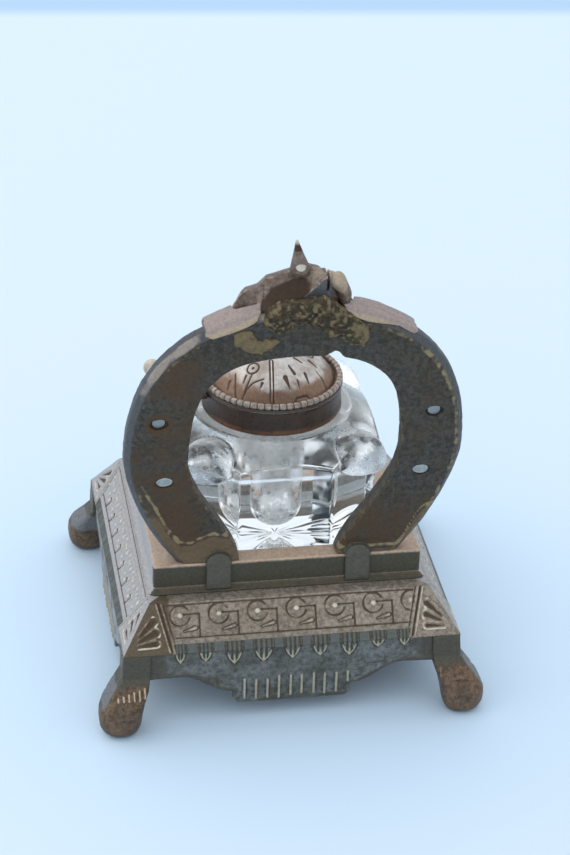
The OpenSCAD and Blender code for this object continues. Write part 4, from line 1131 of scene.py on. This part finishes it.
def collar_field(x, y, z):
    r = np.hypot(x, y)
    dents = 0.05 * cast_grain(x, y, z, 6.0, 51)
    foot_roll = 0.12 * groove(z - 71.4, 0.5)
    band = cut_to(cut_to(r - 18.65 - foot_roll + dents, COLLAR_Z - z, 0.3), z - COLLAR_TOP, 0.3)
    band = np.maximum(band, 17.6 - r)
    flange = np.maximum(np.maximum(r - 18.2, 11.0 - r), np.maximum(76.75 - z, z - 77.35))
    shell = blend_in(band, flange, 0.2)
    for low, high in ((-6.0, -2.17), (2.17, 6.0)):
        shell = blend_in(shell, barrel_field(x, y, z, low, high, (76.0, 77.4), 18.2), 0.3)
    return shell


def make_collar():
    shape = carve(collar_field, (-19.6, -19.6, 70.4), (23.6, 19.6, 79.8), 0.34)
    _, y, z = shape[0].T
    piece("collar_band", shape, "inkwell", "collar_brass", ["collar"], FINISHES["collar"], rounds=3,
          scale=0.4, copper_low=0.6 * (1 - ease(z, 71.4, 74.0)) * ease(y, 0, 10))


# ---------------------------------------------------------------- the lid
# The graver's lines, its darts with their thickness at both ends, and its rings (middle and radius)
LID_LINES = (((6.6, 8.4), (9.9, 13.0)), ((4.0, 11.0), (6.8, 11.0)), ((6.8, 11.0), (8.7, 11.7)),
             ((8.7, 11.7), (10.0, 13.0)), ((10.9, 6.1), (11.4, 9.3)), ((11.4, 9.3), (11.7, 11.8)),
             ((-10.7, 6.9), (-12.1, 8.3)), ((-12.1, 8.3), (-13.4, 10.1)), ((-4.0, 15.4), (-7.4, 14.2)),
             ((-7.4, 14.2), (-7.7, 15.4)), ((-4.0, 15.4), (-3.8, 16.2)))
LID_DARTS = (((-1.7, 11.3), (-2.6, 13.8), 0.75, 0.15), ((-4.9, 11.5), (-5.3, 13.3), 0.3, 0.15),
             ((-7.3, 9.2), (-8.0, 11.5), 0.5, 0.2), ((-3.1, 7.8), (-4.3, 9.9), 0.3, 0.5),
             ((8.4, 8.4), (9.3, 9.8), 0.35, 0.2), ((4.6, 11.9), (5.2, 12.8), 0.45, 0.15),
             ((12.6, 7.0), (13.4, 8.6), 0.4, 0.2), ((-9.2, 4.2), (-11.2, 5.4), 0.5, 0.2),
             ((9.2, 3.0), (11.4, 3.8), 0.5, 0.2), ((-5.0, 4.8), (-7.0, 6.0), 0.4, 0.2))
LID_RINGS = ((6.35, 7.1, 1.55), (-6.2, -7.0, 1.55), (-9.6, 1.2, 1.2), (10.4, -1.0, 1.2))


def lid_cuts(x, y):
    """How deep the graver went at a place on the lid, seen from above, and what it left standing."""
    cut, rise = 0 * x, 0 * x
    for sign in (1, -1):
        u, v = sign * x, sign * y
        for ends in LID_LINES:
            cut = np.maximum(cut, groove(rod(u, v, ends, 0.0), 0.2))
        for a, b, r0, r1 in LID_DARTS:
            d = rod(u, v, (a, b), r0, r1)
            cut = np.maximum(cut, (1 - ease(d, -0.25, 0.2)) * 0.9)
        spoke = rod(u, v, ((1.4, 6.2), (2.6, 16.7)), 0.0)
        cut = np.maximum(cut, groove(spoke - 0.42, 0.22))
        rise = np.maximum(rise, 1 - ease(spoke, 0.1, 0.35))
    for cx, cy, r in LID_RINGS:
        d = np.hypot(x - cx, y - cy)
        cut = np.maximum(cut, np.maximum(groove(d - r, 0.24), 1 - ease(d, 0.2, 0.6)))
    d = np.hypot(x, y)
    cut = np.maximum(cut, np.maximum(groove(d - 4.6, 0.22), groove(d - 3.7, 0.2)))
    petals = groove(d - 1.9 - 1.0 * np.abs(np.cos(3 * np.arctan2(y, x))), 0.22)
    return np.maximum(cut, petals), rise


def make_lid():
    """The dome with its rim and hollow, turned in one profile, and its knuckle."""
    rows, columns = ((78, 430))
    inner_r = 19.3
    edge, inner_edge = math.asin(DOME_FOOT_R / DOME_R), math.asin(16.0 / inner_r)
    profile = [(DOME_R * math.sin(a), DOME_C + DOME_R * math.cos(a))
               for a in edge * np.linspace(0.004, 1, rows)]
    profile += [(17.2, 78.62), (18.6, 78.6), (18.83, 78.5), (18.88, 78.3), (18.88, 77.85), (18.8, 77.65),
                (18.6, 77.6), (15.2, 77.6), (15.05, 77.7), (15.05, 78.3), (15.0, 78.6)]
    profile += [(inner_r * math.sin(a), DOME_C + inner_r * math.cos(a))
                for a in inner_edge * np.linspace(0.93, 0.01, 14)]
    p, faces = sew(lathe(profile, columns)[::-1])
    r = np.hypot(p[:, 0], p[:, 1])
    on_dome = (np.hypot(r, p[:, 2] - DOME_C) > DOME_R - 0.3) & (p[:, 2] > 78.61) & (r < 16.98)
    cut, rise = (v * on_dome for v in lid_cuts(p[:, 0], p[:, 1]))
    outward = (p - (0, 0, DOME_C)) / DOME_R
    dents = 0.05 * cast_grain(*p.T, 6.0, 61) * on_dome
    p = p + outward * (0.12 * rise - 0.3 * cut + dents - 0.06 * on_dome)[:, None]
    z = p[:, 2]
    low = 0.95 * (1 - ease(z, 79.0, 86.0)) * (r < 17.1) * on_dome
    # Cut lines, and a painted shade on the rim under the beads
    shade = np.maximum(cut * 1.1, 0.75 * (r > 17.1) * (z < 78.7) * (z > 77.7))
    knuckle = carve(lambda x, y, z: barrel_field(x, y, z, -1.92, 1.92, (77.9, 78.6), 18.0),
                    (17.0, -2.6, 75.4), (23.6, 2.6, 80.0), 0.3)

    def but_knuckle(values):
        """A mark that is 0 on the knuckle."""
        return np.append(values, np.zeros(len(knuckle[0])))

    piece("lid_dome", joined((p, faces), knuckle), "lid", "lid_copper", ["lid"], FINISHES["lid"], rounds=3,
          scale=0.2, rub=but_knuckle(0.5 * rise), copper_low=but_knuckle(low),
          cut_line=but_knuckle(np.clip(shade, 0, 1)))


def make_beads():
    """A wire round the lid that swells into beads and lies flat on the rim."""
    count, steps, around = 60, 10, 14
    theta = np.linspace(0, 2 * math.pi, count * steps, endpoint=False)
    swell = np.abs(np.cos(theta * count / 2)) ** 0.55
    size = 0.9 * (0.74 + 0.26 * swell) * (1 + 0.05 * cast_grain(theta * 18, 0, 0, 1.9, 71))
    rows = []
    for t in np.linspace(0, 2 * math.pi, around, endpoint=False):
        r = 18.0 + size * math.cos(t) * 0.98
        z = np.maximum(79.3 + size * math.sin(t), LID_RIM_TOP - 0.02)
        rows.append(np.stack([r * np.cos(theta), r * np.sin(theta), z], 1))
    shape = sew(np.array(rows), tube=True)
    piece("beaded_wire", shape, "lid", "bead_silver", ["lid_beading"], FINISHES["beads"], rounds=1,
          scale=0.25, gap=np.tile(1 - ease(swell, 0.2, 0.75), around))


# ---------------------------------------------------------------- the stage
def make_floor():
    """A pale floor with a painted blue shade close to the stand, and a deeper blue strip far behind."""
    reach = 3.0
    mesh = bpy.data.meshes.new("floor")
    mesh.from_pydata([(-reach, -reach, 0), (reach, -reach, 0), (reach, reach, 0), (-reach, reach, 0)], [],
                     [(0, 1, 2, 3)])
    new_object("floor", mesh)
    material, tree, shader = new_material("pale_floor")
    place = position(tree)
    split = add(tree, "ShaderNodeSeparateXYZ", [(0, place)])
    back = maths(tree, "MULTIPLY_ADD", split.outputs[0], 0.094, split.outputs[1])
    away = add(tree, "ShaderNodeVectorMath", [(0, place)], operation="LENGTH").outputs["Value"]
    beyond = between(tree, back, -0.481, -0.466, 1.0, 0.0)
    near = between(tree, away, 0.07, 0.13, 1.0, 0.0)
    colour = mixed(tree, beyond, (0.7, 0.755, 0.79), (0.47, 0.6, 0.73))
    # A painted blue shade on the floor round the stand
    colour = mixed(tree, near, colour, (0.66, 0.755, 0.84))
    feed(tree, shader, [("Base Color", colour), ("Roughness", 0.75), ("Specular IOR Level", 0.15)])
    mesh.materials.append(material)


def make_light():
    """Soft light from all round, strongest from above and from +X, and one window."""
    world = bpy.data.worlds.new("studio")
    bpy.context.scene.world = world
    world.use_nodes = True
    tree = world.node_tree
    tree.nodes.clear()

    def sky(colour, strength):
        return add(tree, "ShaderNodeBackground", [("Color", colour), ("Strength", strength)]).outputs[0]

    way = add(tree, "ShaderNodeSeparateXYZ", [(0, add(tree, "ShaderNodeTexCoord").outputs["Generated"])])
    side = maths(tree, "MULTIPLY_ADD", way.outputs[0], 0.36, 1.03)
    shown = sky((0.8, 0.93, 1.06), maths(tree, "MULTIPLY_ADD", way.outputs[2], 0.3, side))
    path = add(tree, "ShaderNodeLightPath")
    # What metal and glass show, and what the camera sees
    for ray, colour, strength in (("Is Glossy Ray", (0.88, 0.94, 0.98), 1.05),
                                  ("Is Transmission Ray", (0.86, 0.94, 1.0), 1.05),
                                  ("Is Camera Ray", (0.7, 0.85, 0.97), 1.0)):
        shown = add(tree, "ShaderNodeMixShader", [(0, path.outputs[ray]), (1, shown),
                                                  (2, sky(colour, strength))]).outputs[0]
    tree.links.new(shown, tree.nodes.new("ShaderNodeOutputWorld").inputs["Surface"])

    lamp = bpy.data.lights.new("window", "AREA")
    lamp.shape, lamp.size, lamp.energy, lamp.color = "SQUARE", 1.9, 5.0, (1.0, 0.88, 0.72)
    window = new_object("window", lamp)
    window.location = (1.2, -0.8, 1.7)
    aim = Vector((0, 0, 0.05)) - window.location
    window.rotation_euler = aim.to_track_quat("-Z", "Y").to_euler()


def make_camera():
    """The place from which the photograph was taken, found from the stand's corners."""
    at, target = Vector((0.1005, 0.5936, 0.4120)), Vector((-0.0039, 0.0, 0.0625))
    roll = math.radians(1.67)
    forward = (target - at).normalized()
    level = forward.cross(Vector((0, 0, 1))).normalized()
    rise = level.cross(forward)
    right = math.cos(roll) * level + math.sin(roll) * rise
    up = -math.sin(roll) * level + math.cos(roll) * rise
    lens = bpy.data.cameras.new("photograph")
    lens.sensor_fit, lens.sensor_width, lens.lens = "HORIZONTAL", 36.0, 162.82
    lens.clip_start, lens.clip_end = 0.01, 20.0
    camera = new_object("photograph", lens)
    turn = Matrix((right, up, -forward)).transposed().to_4x4()
    camera.matrix_world = Matrix.Translation(at) @ turn
    bpy.context.scene.camera = camera


def keep_nodes():
    """CAD nodes whose shape is right keep it, with a finish of their own."""
    kept = {"gallery_screws": "screw", "left_pen_hook": "hook", "right_pen_hook": "hook",
            "neck_cement": "cement", "hinge_pin": "hook"}
    for node, finish in kept.items():
        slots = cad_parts[node].data.materials
        for k in range(len(slots)):
            slots[k] = FINISHES[finish]


make_camera()
make_floor()
make_light()
make_stand()
make_gallery()
make_aprons()
make_feet()
make_horseshoe()
make_nails()
make_crest()
make_solder()
make_glass()
make_collar()
make_lid()
make_beads()
keep_nodes()

bpy.context.scene.view_settings.view_transform = "Standard"
